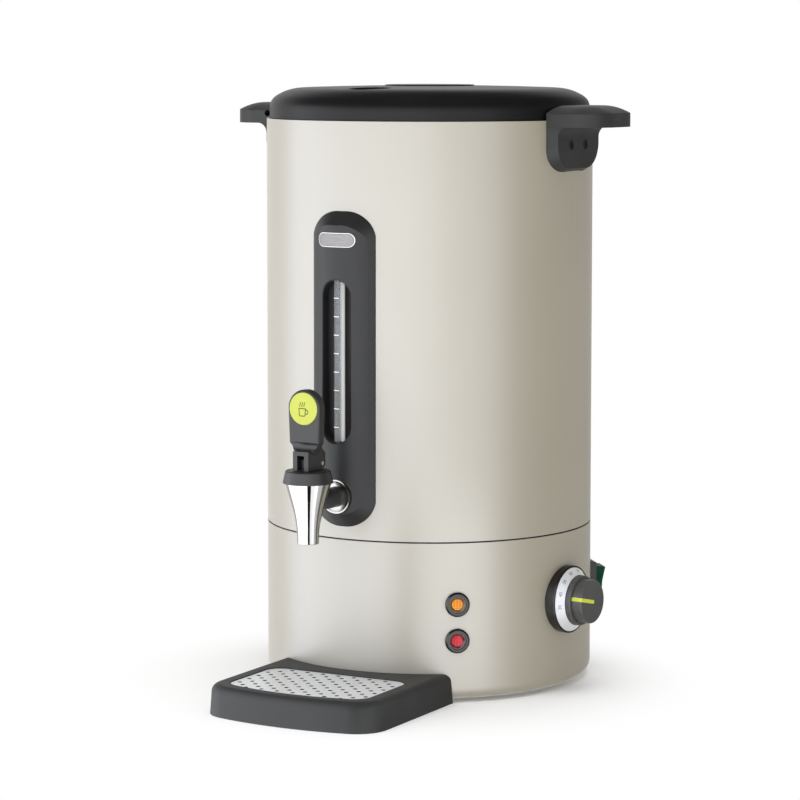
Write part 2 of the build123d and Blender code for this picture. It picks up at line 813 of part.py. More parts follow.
with BuildPart() as gauge_seals:
    for seal_low in (tube_low, tube_top - seal_length):
        with BuildSketch(Plane.XY.offset(seal_low)):
            with Locations((0, tube_y)):
                Circle(tube_diameter / 2 + seal_wall)
                Circle(tube_diameter / 2, mode=Mode.SUBTRACT)
        extrude(amount=seal_length)
keep(gauge_seals, "gauge_seals")

with BuildPart() as badge_plate:
    with BuildSketch(Plane.XZ.offset(panel_front - panel_face_sag)):
        with Locations((0, badge_middle)):
            SlotOverall(badge_width, badge_height)
    extrude(amount=panel_face_sag + overrun)
    panel_round(panel_round_radius - badge_sink, Mode.SUBTRACT)
    panel_round(panel_round_radius + badge_rise, Mode.INTERSECT)
keep(badge_plate, "badge_plate")

# Tap shank: black tube from inside the tank to the spout
chamber_radius = chamber_diameter / 2
shank_end = -tap_y - chamber_radius - port_wall
shank_start = tank_radius - shank_tail
with BuildPart() as tap_shank:
    with BuildSketch(wall_plane(0, shank_height, shank_start)):
        Circle(shank_radius)
        Circle(shank_bore_diameter / 2, mode=Mode.SUBTRACT)
    extrude(amount=shank_end - shank_start)
    with BuildSketch(Plane.XY.offset(shank_height)):
        with Locations((0, tube_y)):
            Circle(gauge_port_diameter / 2)
    extrude(amount=shank_radius + overrun, mode=Mode.SUBTRACT)
keep(tap_shank, "tap_shank")

# Shank collar: dished chrome ring in the panel's round recess
collar_back = -collar_seat
collar_front = collar_back - collar_depth
collar_bore = shank_radius + snug_gap
collar_radius = collar_diameter / 2
with BuildPart() as shank_collar:
    with BuildSketch(Plane.YZ):
        with BuildLine():
            Polyline(
                (collar_front, shank_height + collar_radius - collar_lip),
                (collar_front, shank_height + collar_radius),
                (collar_back, shank_height + collar_radius),
                (collar_back, shank_height + collar_bore),
                (collar_front + collar_dish, shank_height + collar_bore),
            )
            ThreePointArc(
                (collar_front + collar_dish, shank_height + collar_bore),
                (collar_front + collar_dish * dish_middle_share,
                 shank_height + (collar_bore + collar_radius) / 2),
                (collar_front, shank_height + collar_radius - collar_lip),
            )
        make_face()
    revolve(axis=Axis((0, 0, shank_height), (0, 1, 0)))
keep(shank_collar, "shank_collar")

# Shank spacer between shell and tank, gasket and nut inside the tank
with BuildPart() as shank_spacer:
    with BuildSketch(shank_plane):
        Circle(spacer_radius)
        Circle(shank_radius + snug_gap, mode=Mode.SUBTRACT)
    extrude(amount=body_radius)
    Cylinder(tank_outer_radius + snug_gap, 2 * shell_top, mode=Mode.SUBTRACT)
    Cylinder(shell_bore - snug_gap, 2 * shell_top, mode=Mode.INTERSECT)
keep(shank_spacer, "shank_spacer")

washer_back = tank_radius - washer_thickness
with BuildPart() as shank_gasket:
    with BuildSketch(wall_plane(0, shank_height, washer_back)):
        Circle(washer_diameter / 2)
        Circle(shank_radius, mode=Mode.SUBTRACT)
    extrude(amount=washer_thickness + overrun)
    Cylinder(tank_radius - snug_gap, 2 * shell_top, mode=Mode.INTERSECT)
keep(shank_gasket, "shank_gasket")

with BuildPart() as shank_nut:
    with BuildSketch(wall_plane(0, shank_height, washer_back - shank_nut_height)):
        RegularPolygon(shank_nut_across / 2, 6, major_radius=False)
        Circle(shank_radius, mode=Mode.SUBTRACT)
    extrude(amount=shank_nut_height)
keep(shank_nut, "shank_nut")

# Spout: chrome cone with the valve chamber, its seat and the outlet
tap_plane = Plane.XZ.offset(-tap_y)
tap_axis = Axis((0, tap_y, 0), (0, 0, 1))
spout_top = shank_height + spout_top_rise
spout_low = spout_top - spout_length
spout_neck = spout_low + spout_neck_rise
spout_tip_radius = spout_tip_diameter / 2
valve_seat = shank_height - valve_seat_drop
with BuildPart() as spout:
    with BuildSketch(tap_plane):
        with BuildLine():
            Polyline(
                (outlet_diameter / 2, spout_low),
                (spout_tip_radius, spout_low),
                (spout_tip_radius, spout_neck),
                (spout_top_diameter / 2, spout_top),
                (chamber_radius, spout_top),
                (chamber_radius, valve_seat),
                (outlet_diameter / 2, valve_seat),
                close=True,
            )
        make_face()
    revolve(axis=tap_axis)
    fillet(ring_edges(spout, spout_tip_radius, spout_neck), radius=spout_neck_radius)
    fillet(ring_edges(spout, spout_tip_radius, spout_low), radius=spout_edge)
    with BuildSketch(wall_plane(0, shank_height, shank_end)):
        Circle(shank_radius)
    extrude(amount=-(spout_top_diameter / 2 + overrun), mode=Mode.SUBTRACT)
    with BuildSketch(wall_plane(0, shank_height, shank_end)):
        Circle(shank_bore_diameter / 2)
    extrude(amount=chamber_radius, mode=Mode.SUBTRACT)
keep(spout, "spout")

# Bonnet: black collar that closes the chamber, guides the stem and carries the pivot lug
bonnet_top = spout_top + bonnet_height
stem_radius = stem_diameter / 2
pivot_y = tap_y + pivot_offset
pivot_height = bonnet_top + pivot_rise
pivot_radius = pivot_pin_diameter / 2
lug_width = fork_slot_width - 2 * moving_gap
spring_ceiling = spout_top + spring_pocket_rise
with BuildPart() as bonnet:
    with BuildSketch(tap_plane):
        with BuildLine():
            Polyline(
                (stem_radius + running_fit, bonnet_top),
                (bonnet_top_diameter / 2, bonnet_top),
                (bonnet_low_diameter / 2, spout_top),
                (chamber_radius - snug_gap, spout_top),
                (chamber_radius - snug_gap, spout_top - spigot_depth),
                (spring_pocket_diameter / 2, spout_top - spigot_depth),
                (spring_pocket_diameter / 2, spring_ceiling),
                (stem_radius + running_fit, spring_ceiling),
                close=True,
            )
        make_face()
    revolve(axis=tap_axis)
    fillet(ring_edges(bonnet, bonnet_top_diameter / 2, bonnet_top), radius=bonnet_edge)
    with BuildSketch(Plane.YZ):
        with Locations((pivot_y, pivot_height)):
            Circle(lug_half_length)
        with Locations((pivot_y, (bonnet_top - bonnet_edge + pivot_height) / 2)):
            Rectangle(2 * lug_half_length, pivot_height - bonnet_top + bonnet_edge)
        with Locations((pivot_y, pivot_height)):
            Circle(pivot_radius, mode=Mode.SUBTRACT)
    extrude(amount=lug_width / 2, both=True)
keep(bonnet, "bonnet")

# Valve stem: guided rod with a slotted tongue at its top
seat_low = valve_seat + seat_gap
seat_top = seat_low + seat_height
stem_low = seat_low + stem_socket
tongue_low = bonnet_top + tongue_lift
tongue_top = pivot_height + tongue_cap
link_radius = link_pin_diameter / 2
link_travel = pivot_offset * (1 - cos(radians(lever_travel)))
link_slot_height = link_pin_diameter + 2 * link_slack
with BuildPart() as valve_stem:
    with BuildSketch(Plane.XY.offset(stem_low)):
        with Locations((0, tap_y)):
            Circle(stem_radius)
    extrude(amount=tongue_low - stem_low)
    with BuildSketch(Plane.YZ):
        with Locations((tap_y, (tongue_low + tongue_top) / 2)):
            Rectangle(tongue_length, tongue_top - tongue_low)
        with Locations((tap_y + link_travel / 2, pivot_height)):
            SlotOverall(link_slot_height + link_travel, link_slot_height, mode=Mode.SUBTRACT)
    extrude(amount=tongue_thickness / 2, both=True)
keep(valve_stem, "valve_stem")

# Seat cup: soft plug on the stem's lower end
with BuildPart() as seat_cup:
    with BuildSketch(Plane.XY.offset(seat_low)):
        with Locations((0, tap_y)):
            Circle(seat_diameter / 2)
    extrude(amount=seat_height)
    fillet(seat_cup.edges().group_by(Axis.Z)[-1], radius=seat_edge)
    with BuildSketch(Plane.XY.offset(stem_low)):
        with Locations((0, tap_y)):
            Circle(stem_radius)
    extrude(amount=seat_height, mode=Mode.SUBTRACT)
keep(seat_cup, "seat_cup")

# Closing spring: open coil between seat cup and bonnet
spring_low = seat_top + spring_wire / 2 + snug_gap
spring_high = spring_ceiling - spring_wire / 2 - snug_gap
spring_pitch = (spring_high - spring_low) / spring_turns
with BuildPart() as closing_spring:
    with BuildLine() as coil:
        Helix(spring_pitch, spring_high - spring_low, spring_diameter / 2,
              center=(0, tap_y, spring_low))
    with BuildSketch(Plane(origin=coil.line @ 0, z_dir=coil.line % 0)):
        Circle(spring_wire / 2)
    sweep(is_frenet=True)
keep(closing_spring, "closing_spring")

# Lever: forked neck round the pivot, thumb groove and rounded head
lever_low = bonnet_top + moving_gap
neck_front = tap_y - neck_reach
neck_top = bonnet_top + neck_height
neck_round = pivot_rise - moving_gap
neck_rear = pivot_y + neck_round
head_face = tap_y - head_reach
head_rear = head_face + head_thickness
head_low = bonnet_top + head_low_rise
head_top = bonnet_top + head_top_rise
head_round = head_top_width / 2
fork_top = bonnet_top + fork_slot_rise
disc_height = head_top - disc_drop
with BuildPart() as lever:
    with BuildSketch(Plane.YZ):
        with BuildLine():
            CenterArc((pivot_y, pivot_height), neck_round, 270, 90)
            Polyline(
                (neck_rear, pivot_height),
                (neck_rear, bonnet_top + neck_rear_height),
                (head_rear, head_low),
                (head_face, head_low),
                (neck_front, neck_top),
                (neck_front, lever_low),
                (pivot_y, lever_low),
            )
        make_face()
    extrude(amount=neck_width / 2, both=True)
    with BuildSketch(Plane.XZ.offset(-head_rear)):
        with BuildLine():
            CenterArc((0, head_top - head_round), head_round, 0, 180)
            Polyline(
                (-head_round, head_top - head_round),
                (-head_low_width / 2, head_low),
                (-neck_width / 2, bonnet_top + neck_rear_height),
                (neck_width / 2, bonnet_top + neck_rear_height),
                (head_low_width / 2, head_low),
                (head_round, head_top - head_round),
            )
        make_face()
    extrude(amount=head_thickness)
    head_edges = lever.edges().filter_by(Axis.Y, reverse=True).filter_by(
        lambda edge: edge.center().Z > head_low + match)
    fillet(head_edges, radius=head_edge)
    with BuildSketch(Plane.YZ):
        with Locations((tap_y - groove_reach, bonnet_top + groove_rise)):
            Circle(groove_radius)
    extrude(amount=head_top_width, both=True, mode=Mode.SUBTRACT)
    with BuildSketch(Plane.XZ):
        with Locations((0, (bonnet_top + fork_top) / 2)):
            Rectangle(fork_slot_width, fork_top - bonnet_top)
    extrude(amount=-2 * tap_y, mode=Mode.SUBTRACT)
    with BuildSketch(Plane.YZ):
        with Locations((pivot_y, pivot_height)):
            Circle(pivot_radius + running_fit)
    extrude(amount=neck_width, both=True, mode=Mode.SUBTRACT)
    with BuildSketch(Plane.YZ):
        with Locations((tap_y, pivot_height)):
            Circle(link_radius)
    extrude(amount=fork_slot_width / 2 + link_pin_bite, both=True, mode=Mode.SUBTRACT)
    with BuildSketch(Plane.XZ.offset(-head_face)):
        with Locations((0, disc_height)):
            Circle(disc_diameter / 2 + snug_gap)
    extrude(amount=-(disc_thickness - disc_proud), mode=Mode.SUBTRACT)
keep(lever, "lever")

with BuildPart() as lever_disc:
    with BuildSketch(Plane.XZ.offset(-head_face - disc_thickness + disc_proud)):
        with Locations((0, disc_height)):
            Circle(disc_diameter / 2)
    extrude(amount=disc_thickness)
keep(lever_disc, "lever_disc")

# Pivot pin, fixed in the bonnet's lug, and the link pin, fixed in the lever's cheeks
with BuildPart() as lever_pin:
    with BuildSketch(Plane.YZ):
        with Locations((pivot_y, pivot_height)):
            Circle(pivot_radius)
    extrude(amount=neck_width / 2 + pivot_pin_proud, both=True)
keep(lever_pin, "lever_pin")

with BuildPart() as link_pin:
    with BuildSketch(Plane.YZ):
        with Locations((tap_y, pivot_height)):
            Circle(link_radius)
    extrude(amount=fork_slot_width / 2 + link_pin_bite, both=True)
keep(link_pin, "link_pin")

# Drip tray: drafted basin with a well rounded rim, cut out at the rear to hug the body
tray_front = -(body_radius + tray_reach)
tray_rear = -sqrt(body_radius ** 2 - (tray_width / 2 + tray_shift) ** 2) + overrun
grid_front = tray_front + grid_front_rim
grid_rear = -(body_radius + grid_rear_rim)
grid_width = tray_width - 2 * grid_side_rim
grid_top = tray_height - grid_sink
grid_low = grid_top - grid_thickness


def tray_level(height):
    """Level plane turned with the tray about the body's axis and shifted with it."""
    turn = radians(tray_turn)
    place = (tray_shift * cos(turn), tray_shift * sin(turn), height)
    return Plane(origin=place, x_dir=(cos(turn), sin(turn), 0), z_dir=(0, 0, 1))


def bowed_outline(width, front, rear, bow):
    """Face with straight sides and a front edge bowed outwards."""
    with BuildLine() as edge:
        Polyline((width / 2, front + bow), (width / 2, rear),
                 (-width / 2, rear), (-width / 2, front + bow))
        ThreePointArc((-width / 2, front + bow), (0, front), (width / 2, front + bow))
    make_face(edge.edges())


def grid_outline(height, growth):
    """The grid's outline, grown all round, on a level plane."""
    with BuildSketch(tray_level(height)) as outline:
        bowed_outline(grid_width + 2 * growth, grid_front - growth, grid_rear + growth, grid_bow)
        fillet(outline.vertices().sort_by(Axis.Y)[:2], radius=grid_front_corner + growth)
        fillet(outline.vertices().sort_by(Axis.Y)[-2:], radius=grid_rear_corner + growth)
    return outline.sketch


with BuildPart() as tray_block:
    with BuildSketch() as outline:
        bowed_outline(tray_width, tray_front, tray_rear, tray_bow)
        fillet(outline.vertices().sort_by(Axis.Y)[:2], radius=tray_corner_radius)
    extrude(amount=tray_height, taper=tray_draft)
    rim_edges = tray_block.faces().sort_by(Axis.Z)[-1].edges()
    fillet(rim_edges, radius=tray_rim_radius)

with BuildPart() as drip_tray:
    with Locations(tray_level(0)):
        add(tray_block.part)
    cut_body(moving_gap)
    extrude(grid_outline(grid_low, moving_gap), amount=tray_height, mode=Mode.SUBTRACT)
    extrude(grid_outline(tray_floor, -grid_seat_width), amount=tray_height, mode=Mode.SUBTRACT)
keep(drip_tray, "drip_tray")

# Drip grid: perforated steel plate, round holes in rows with a staggered row between
hole_rear = grid_rear - hole_rear_margin
hole_columns = int((grid_width - 2 * hole_side_margin) / hole_pitch) + 1
hole_rows = int((hole_rear - grid_front - hole_front_margin) / hole_pitch) + 1
hole_middle = hole_rear - (hole_rows - 1) / 2 * hole_pitch
with BuildPart() as drip_grid:
    extrude(grid_outline(grid_low, 0), amount=grid_thickness)
    with BuildSketch(tray_level(grid_low)):
        with Locations((0, hole_middle)):
            with GridLocations(hole_pitch, hole_pitch, hole_columns - 2, hole_rows):
                Circle(hole_diameter / 2)
            with GridLocations(hole_pitch, hole_pitch, hole_columns - 1, hole_rows - 1):
                Circle(hole_diameter / 2)
            with GridLocations((hole_columns - 1) * hole_pitch, hole_pitch, 2, hole_rows - 2):
                Circle(hole_diameter / 2)
    extrude(amount=grid_thickness, mode=Mode.SUBTRACT)
keep(drip_grid, "drip_grid")

# Dial bezel, curved at its back to sit on the wall, with a sloping seat for the printed ring
shaft_radius = shaft_diameter / 2
bezel_radius = bezel_diameter / 2
boss_hole = boss_diameter / 2 + snug_gap
dial_outer = dial_outer_diameter / 2
dial_inner = dial_inner_diameter / 2
dial_front = bezel_rise + dial_rise
hub_front = dial_front - dial_thickness - snug_gap
dial_profile = Plane(origin=knob_plane.origin, x_dir=knob_plane.x_dir, z_dir=-knob_plane.y_dir)
with BuildPart() as dial_bezel:
    with BuildSketch(dial_profile):
        with BuildLine():
            Polyline(
                (boss_hole, -bezel_depth),
                (bezel_radius, -bezel_depth),
                (bezel_radius, bezel_rise),
                (dial_outer + snug_gap, bezel_rise),
                (dial_outer + snug_gap, bezel_rise - dial_thickness - snug_gap),
                (dial_inner, hub_front),
                (boss_hole, hub_front),
                close=True,
            )
        make_face()
    revolve(axis=knob_axis)
    rims = dial_bezel.edges().filter_by(GeomType.CIRCLE).filter_by(
        lambda edge: isclose(edge.radius, bezel_radius, abs_tol=match))
    fillet(rims.sort_by(knob_axis)[-1], radius=bezel_edge)
    cut_body(snug_gap)
keep(dial_bezel, "dial_bezel")

with BuildPart() as dial_ring:
    with BuildSketch(dial_profile):
        with BuildLine():
            Polyline(
                (dial_outer, bezel_rise - dial_thickness),
                (dial_outer, bezel_rise),
                (dial_inner, dial_front),
                (dial_inner, dial_front - dial_thickness),
                close=True,
            )
        make_face()
    revolve(axis=knob_axis)
keep(dial_ring, "dial_ring")

# Thermostat: switch body behind the wall, held by its boss
thermostat_front = -base_wall - thermostat_setback
with BuildPart() as thermostat:
    with BuildSketch(knob_plane.offset(thermostat_front - thermostat_depth)):
        Rectangle(thermostat_size, thermostat_size)
    extrude(amount=thermostat_depth)
    fillet(thermostat.edges().filter_by(knob_axis), radius=thermostat_corner)
    with BuildSketch(knob_plane.offset(thermostat_front)):
        Circle(boss_diameter / 2)
    extrude(amount=hub_front - boss_sink - thermostat_front)
    with BuildSketch(knob_plane.offset(thermostat_front - shaft_sink)):
        Circle(shaft_radius + running_fit)
    extrude(amount=shaft_sink + hub_front - thermostat_front, mode=Mode.SUBTRACT)
keep(thermostat, "thermostat")

# Capillary: fine tube from the thermostat to the sensing bulb under the tank
capillary_radius = capillary_diameter / 2
capillary_start = thermostat_size / 2
bulb_start = capillary_start + capillary_run
bulb_rise = tank_floor_low - bulb_diameter / 2 - snug_gap - knob_height
capillary_plane = knob_plane.offset(-capillary_setback)
bulb_end = capillary_plane.from_local_coords((capillary_start, bulb_rise, 0))
with BuildPart() as capillary:
    with BuildLine() as route:
        FilletPolyline(
            capillary_plane.from_local_coords((capillary_start, 0, 0)),
            capillary_plane.from_local_coords((bulb_start, 0, 0)),
            capillary_plane.from_local_coords((bulb_start, bulb_rise, 0)),
            bulb_end,
            radius=capillary_bend,
        )
    with BuildSketch(Plane(origin=route.line @ 0, z_dir=route.line % 0)):
        Circle(capillary_radius)
    sweep()
    with BuildSketch(Plane(origin=bulb_end, z_dir=-knob_plane.x_dir)):
        Circle(bulb_diameter / 2)
    extrude(amount=bulb_length)
keep(capillary, "capillary")

# Knob shaft, knob and the marker strip along its grip
knob_low = dial_front + knob_gap
knob_front = knob_low + knob_length
shaft_low = thermostat_front - shaft_sink + moving_gap
shaft_high = knob_front - knob_cap
knob_grip_radius = knob_grip_diameter / 2
with BuildPart() as knob_shaft:
    with BuildSketch(knob_plane.offset(shaft_low)):
        Circle(shaft_radius)
    extrude(amount=shaft_high - shaft_low)
keep(knob_shaft, "knob_shaft")

pointer_turn = radians(pointer_tilt)
pointer_way = knob_plane.y_dir * sin(pointer_turn) - knob_plane.x_dir * cos(pointer_turn)
marker_origin = knob_plane.offset(knob_low).origin
marker_plane = Plane(origin=marker_origin, x_dir=pointer_way, z_dir=knob_plane.z_dir)
with BuildPart() as knob:
    with BuildSketch(knob_plane.offset(knob_low)):
        Circle(knob_flange_diameter / 2)
    extrude(amount=knob_flange_height)
    flange_top = knob.faces().sort_by(knob_axis)[-1]
    fillet(flange_top.edges(), radius=knob_edge)
    with BuildSketch(knob_plane.offset(knob_low)):
        Circle(knob_grip_radius)
    extrude(amount=knob_length)
    fillet(knob.faces().sort_by(knob_axis)[-1].edges(), radius=knob_edge)
    with BuildSketch(marker_plane.offset(knob_flange_height)):
        with Locations((knob_grip_radius - pointer_depth / 2, 0)):
            Rectangle(pointer_depth, pointer_width)
    extrude(amount=knob_length, mode=Mode.SUBTRACT)
    with BuildSketch(marker_plane.offset(knob_length - pointer_depth)):
        with Locations((knob_grip_radius / 2, 0)):
            Rectangle(knob_grip_radius, pointer_width)
        Circle(pointer_width / 2)
    extrude(amount=pointer_depth, mode=Mode.SUBTRACT)
    with BuildSketch(knob_plane.offset(knob_low)):
        Circle(shaft_radius)
    extrude(amount=knob_length - knob_cap, mode=Mode.SUBTRACT)
keep(knob, "knob")

with BuildPart() as knob_pointer:
    with BuildSketch(marker_plane.offset(knob_flange_height)):
        with Locations((knob_grip_radius + (pointer_proud - pointer_depth) / 2, 0)):
            Rectangle(pointer_depth + pointer_proud, pointer_width)
    extrude(amount=knob_length - knob_flange_height + pointer_proud)
    with BuildSketch(marker_plane.offset(knob_length - pointer_depth)):
        with Locations(((knob_grip_radius + pointer_proud) / 2, 0)):
            Rectangle(knob_grip_radius + pointer_proud, pointer_width)
        Circle(pointer_width / 2)
    extrude(amount=pointer_depth + pointer_proud)
    outer_corner = knob_pointer.edges().sort_by_distance(marker_plane.from_local_coords(
        (knob_grip_radius + overrun, 0, knob_length + overrun)))[0]
    fillet(outer_corner, radius=knob_edge)
keep(knob_pointer, "knob_pointer")

# Pilot lamps: black bezels, an amber lens above a red one, and the lamps behind them
lens_radius = lens_diameter / 2
lens_top = lamp_bezel_rise - lens_sink
lens_low = lens_top - lens_length
with BuildPart() as lamp_bezels:
    for lamp_plane in lamp_planes:
        with BuildSketch(lamp_plane.offset(-lamp_bezel_rise)):
            Circle(lamp_bezel_diameter / 2)
        extrude(amount=2 * lamp_bezel_rise)
    fronts = lamp_bezels.faces().filter_by(GeomType.PLANE)
    front_distance = body_radius + lamp_bezel_rise
    outer_fronts = fronts.filter_by(
        lambda face: hypot(face.center().X, face.center().Y) > front_distance - match)
    chamfer(outer_fronts.edges(), length=lamp_bezel_edge)
    cut_body(snug_gap)
    for lamp_plane in lamp_planes:
        with BuildSketch(lamp_plane.offset(-lamp_barrel_length)):
            Circle(lamp_barrel_diameter / 2)
        extrude(amount=lamp_barrel_length + lamp_bezel_rise / 2)
        with BuildSketch(lamp_plane.offset(-lamp_barrel_length)):
            Circle(lens_radius + snug_gap)
        extrude(amount=lamp_barrel_length + 2 * lamp_bezel_rise, mode=Mode.SUBTRACT)
keep(lamp_bezels, "lamp_bezels")


def make_lens(lamp_plane, label):
    """One round lens with a softened front edge."""
    with BuildPart() as lens:
        with BuildSketch(lamp_plane.offset(lens_low)):
            Circle(lens_radius)
        extrude(amount=lens_length)
        farthest = lens.faces().filter_by(GeomType.PLANE).sort_by(
            lambda face: hypot(face.center().X, face.center().Y))[-1]
        fillet(farthest.edges(), radius=lens_edge)
    keep(lens, label)


make_lens(lamp_planes[0], "amber_lens")
make_lens(lamp_planes[1], "red_lens")

with BuildPart() as lamp_bodies:
    for lamp_plane in lamp_planes:
        with BuildSketch(lamp_plane.offset(lens_low - lamp_body_length)):
            Circle(lens_radius)
        extrude(amount=lamp_body_length)
        with BuildSketch(lamp_plane.offset(lens_low - lamp_body_length - lamp_tab_length)):
            with GridLocations(lens_radius, 0, 2, 1):
                Rectangle(lamp_tab_thickness, lamp_tab_width)
        extrude(amount=lamp_tab_length)
keep(lamp_bodies, "lamp_bodies")

# Switch housing: hooded frame on the wall with a barrel behind it
switch_side = Plane(origin=switch_plane.origin, x_dir=switch_plane.z_dir, z_dir=-switch_plane.x_dir)
switch_half = switch_flange_height / 2
flange_back = -(switch_rise + base_wall) / 2
pocket_width = rocker_width + 2 * moving_gap
pocket_height = rocker_length + 2 * switch_pocket_slack
with BuildPart() as switch_housing:
    with BuildSketch(switch_side):
        with BuildLine():
            Polyline(
                (flange_back, -switch_half),
                (switch_rise - switch_hood, -switch_half),
                (switch_rise, switch_hood / 2 - switch_half),
                (switch_rise, switch_half - switch_hood),
                (0, switch_half),
                (flange_back, switch_half),
                close=True,
            )
        make_face()
    extrude(amount=switch_flange_width / 2, both=True)
    cut_body(snug_gap)
    with BuildSketch(switch_plane.offset(-switch_depth)):
        Rectangle(switch_barrel_width, switch_barrel_height)
    extrude(amount=switch_depth + switch_rise / 2)
    with BuildSketch(switch_plane.offset(rocker_pivot_rise - switch_pocket_depth)):
        Rectangle(pocket_width, pocket_height)
    extrude(amount=switch_pocket_depth + switch_rise, mode=Mode.SUBTRACT)
    with BuildSketch(switch_side):
        with Locations((rocker_pivot_rise, 0)):
            Circle(rocker_pin_diameter / 2 + running_fit)
    extrude(amount=rocker_width / 2 + rocker_pin_bite + moving_gap, both=True, mode=Mode.SUBTRACT)
keep(switch_housing, "switch_housing")


def tipped(outwards, upwards):
    """Point of the rocker's outline turned about its pins, upper end out."""
    turn = radians(rocker_tilt)
    away = outwards - rocker_pivot_rise
    return (rocker_pivot_rise + away * cos(turn) + upwards * sin(turn),
            upwards * cos(turn) - away * sin(turn))


# Rocker: translucent button with a bent front, at rest with its upper end out
rocker_half = rocker_length / 2
with BuildPart() as rocker:
    with BuildSketch(switch_side):
        with BuildLine():
            Polyline(
                tipped(rocker_pivot_rise - rocker_belly, 0),
                tipped(rocker_pivot_rise, rocker_half),
                tipped(rocker_end_rise, rocker_half),
                tipped(rocker_middle_rise, 0),
                tipped(rocker_end_rise, -rocker_half),
                tipped(rocker_pivot_rise, -rocker_half),
                close=True,
            )
        make_face()
    extrude(amount=rocker_width / 2, both=True)
    with BuildSketch(switch_side):
        with Locations((rocker_pivot_rise, 0)):
            Circle(rocker_pin_diameter / 2)
    extrude(amount=rocker_width / 2 + rocker_pin_bite, both=True)
keep(rocker, "rocker")

# Heater: spreader plate, ring element, cut-out and the stud that draws them up
heater_low = tank_floor_low - heater_plate_thickness
heater_plate_radius = body_radius - capillary_setback - bulb_diameter / 2 - heater_bulb_gap
element_ring_radius = heater_plate_radius - element_inset
cutout_reach = (element_ring_radius - element_diameter / 2) * cutout_reach_share
element_height = heater_low - element_gap - element_diameter / 2
with BuildPart() as heater_plate:
    with BuildSketch(Plane.XY.offset(heater_low)):
        Circle(heater_plate_radius)
    extrude(amount=heater_plate_thickness)
keep(heater_plate, "heater_plate")

with BuildPart() as heating_element:
    with BuildSketch(Plane.XZ):
        with Locations((element_ring_radius, element_height)):
            Circle(element_diameter / 2)
    revolve(axis=Axis.Z, revolution_arc=element_sweep)
    with BuildSketch(Plane.XY.offset(element_height)):
        with Locations((element_ring_radius, 0),
                       (element_ring_radius * cos(radians(element_sweep)),
                        element_ring_radius * sin(radians(element_sweep)))):
            Circle(element_diameter / 2)
    extrude(amount=-element_tail)
keep(heating_element, "heating_element")

with BuildPart() as thermal_cutout:
    with BuildSketch(Plane.XY.offset(heater_low - cutout_height)):
        with Locations((-cutout_reach, 0)):
            Circle(cutout_diameter / 2)
    extrude(amount=cutout_height)
    with BuildSketch(Plane.XY.offset(heater_low - cutout_height - cutout_tab_length)):
        with Locations((-cutout_reach, 0)):
            with GridLocations(0, cutout_diameter / 2, 1, 2):
                Rectangle(cutout_tab_width, cutout_tab_thickness)
    extrude(amount=cutout_tab_length)
keep(thermal_cutout, "thermal_cutout")

with BuildPart() as tie_stud:
    with BuildSketch(Plane.XY.offset(plate_low - tie_nut_height)):
        Circle(tie_diameter / 2)
    extrude(amount=heater_low - plate_low + tie_nut_height)
keep(tie_stud, "tie_stud")

with BuildPart() as tie_nut:
    with BuildSketch(Plane.XY.offset(plate_low - tie_nut_height)):
        RegularPolygon(tie_nut_across / 2, 6, major_radius=False)
        Circle(tie_diameter / 2, mode=Mode.SUBTRACT)
    extrude(amount=tie_nut_height)
keep(tie_nut, "tie_nut")

# Base plate under the skirt, its screws and the feet
foot_circle = body_radius - foot_setback
screw_circle = body_radius - base_screw_setback
with BuildPart() as base_plate:
    with BuildSketch(Plane.XY.offset(plate_low)):
        Circle(plate_recess_radius - moving_gap)
        Circle(tie_diameter / 2 + snug_gap, mode=Mode.SUBTRACT)
        with PolarLocations(screw_circle, base_screw_count, start_angle=45):
            Circle(base_screw_diameter / 2, mode=Mode.SUBTRACT)
        with PolarLocations(foot_circle, foot_count):
            Circle(foot_spigot_diameter / 2, mode=Mode.SUBTRACT)
    extrude(amount=plate_thickness)
keep(base_plate, "base_plate")

with BuildPart() as base_screws:
    with BuildSketch(Plane.XY.offset(plate_low - base_head_height)):
        with PolarLocations(screw_circle, base_screw_count, start_angle=45):
            Circle(base_head_diameter / 2)
    extrude(amount=base_head_height)
    with BuildSketch(Plane.XY.offset(plate_low)):
        with PolarLocations(screw_circle, base_screw_count, start_angle=45):
            Circle(base_screw_diameter / 2)
    extrude(amount=plate_thickness + flange_thickness)
keep(base_screws, "base_screws")

with BuildPart() as feet:
    with BuildSketch():
        with PolarLocations(foot_circle, foot_count):
            Circle(foot_diameter / 2)
    extrude(amount=plate_low)
    fillet(feet.edges().group_by(Axis.Z)[0], radius=foot_edge)
    with BuildSketch(Plane.XY.offset(plate_low)):
        with PolarLocations(foot_circle, foot_count):
            Circle(foot_spigot_diameter / 2)
    extrude(amount=foot_spigot_rise)
keep(feet, "feet")

# Cable gland low at the rear, its nut inside, and the terminal block on the base plate
with BuildPart() as cable_gland:
    with BuildSketch(gland_plane.offset(-gland_rise)):
        Circle(gland_diameter / 2)
    extrude(amount=2 * gland_rise)
    fillet(cable_gland.faces().sort_by(Axis.Y)[-1].edges(), radius=gland_edge)
    cut_body(snug_gap)
    with BuildSketch(gland_plane.offset(-gland_length)):
        Circle(gland_thread_diameter / 2)
    extrude(amount=gland_length + gland_rise / 2)
    with BuildSketch(gland_plane):
        Circle(gland_bore_diameter / 2)
    extrude(amount=gland_length + overrun, both=True, mode=Mode.SUBTRACT)
keep(cable_gland, "cable_gland")

with BuildPart() as gland_nut:
    with BuildSketch(gland_plane.offset(-base_wall - gland_nut_height)):
        Circle(gland_nut_diameter / 2)
        Circle(gland_thread_diameter / 2, mode=Mode.SUBTRACT)
    extrude(amount=gland_nut_height)
    Cylinder(base_bore - snug_gap, 2 * shell_top, mode=Mode.INTERSECT)
keep(gland_nut, "gland_nut")

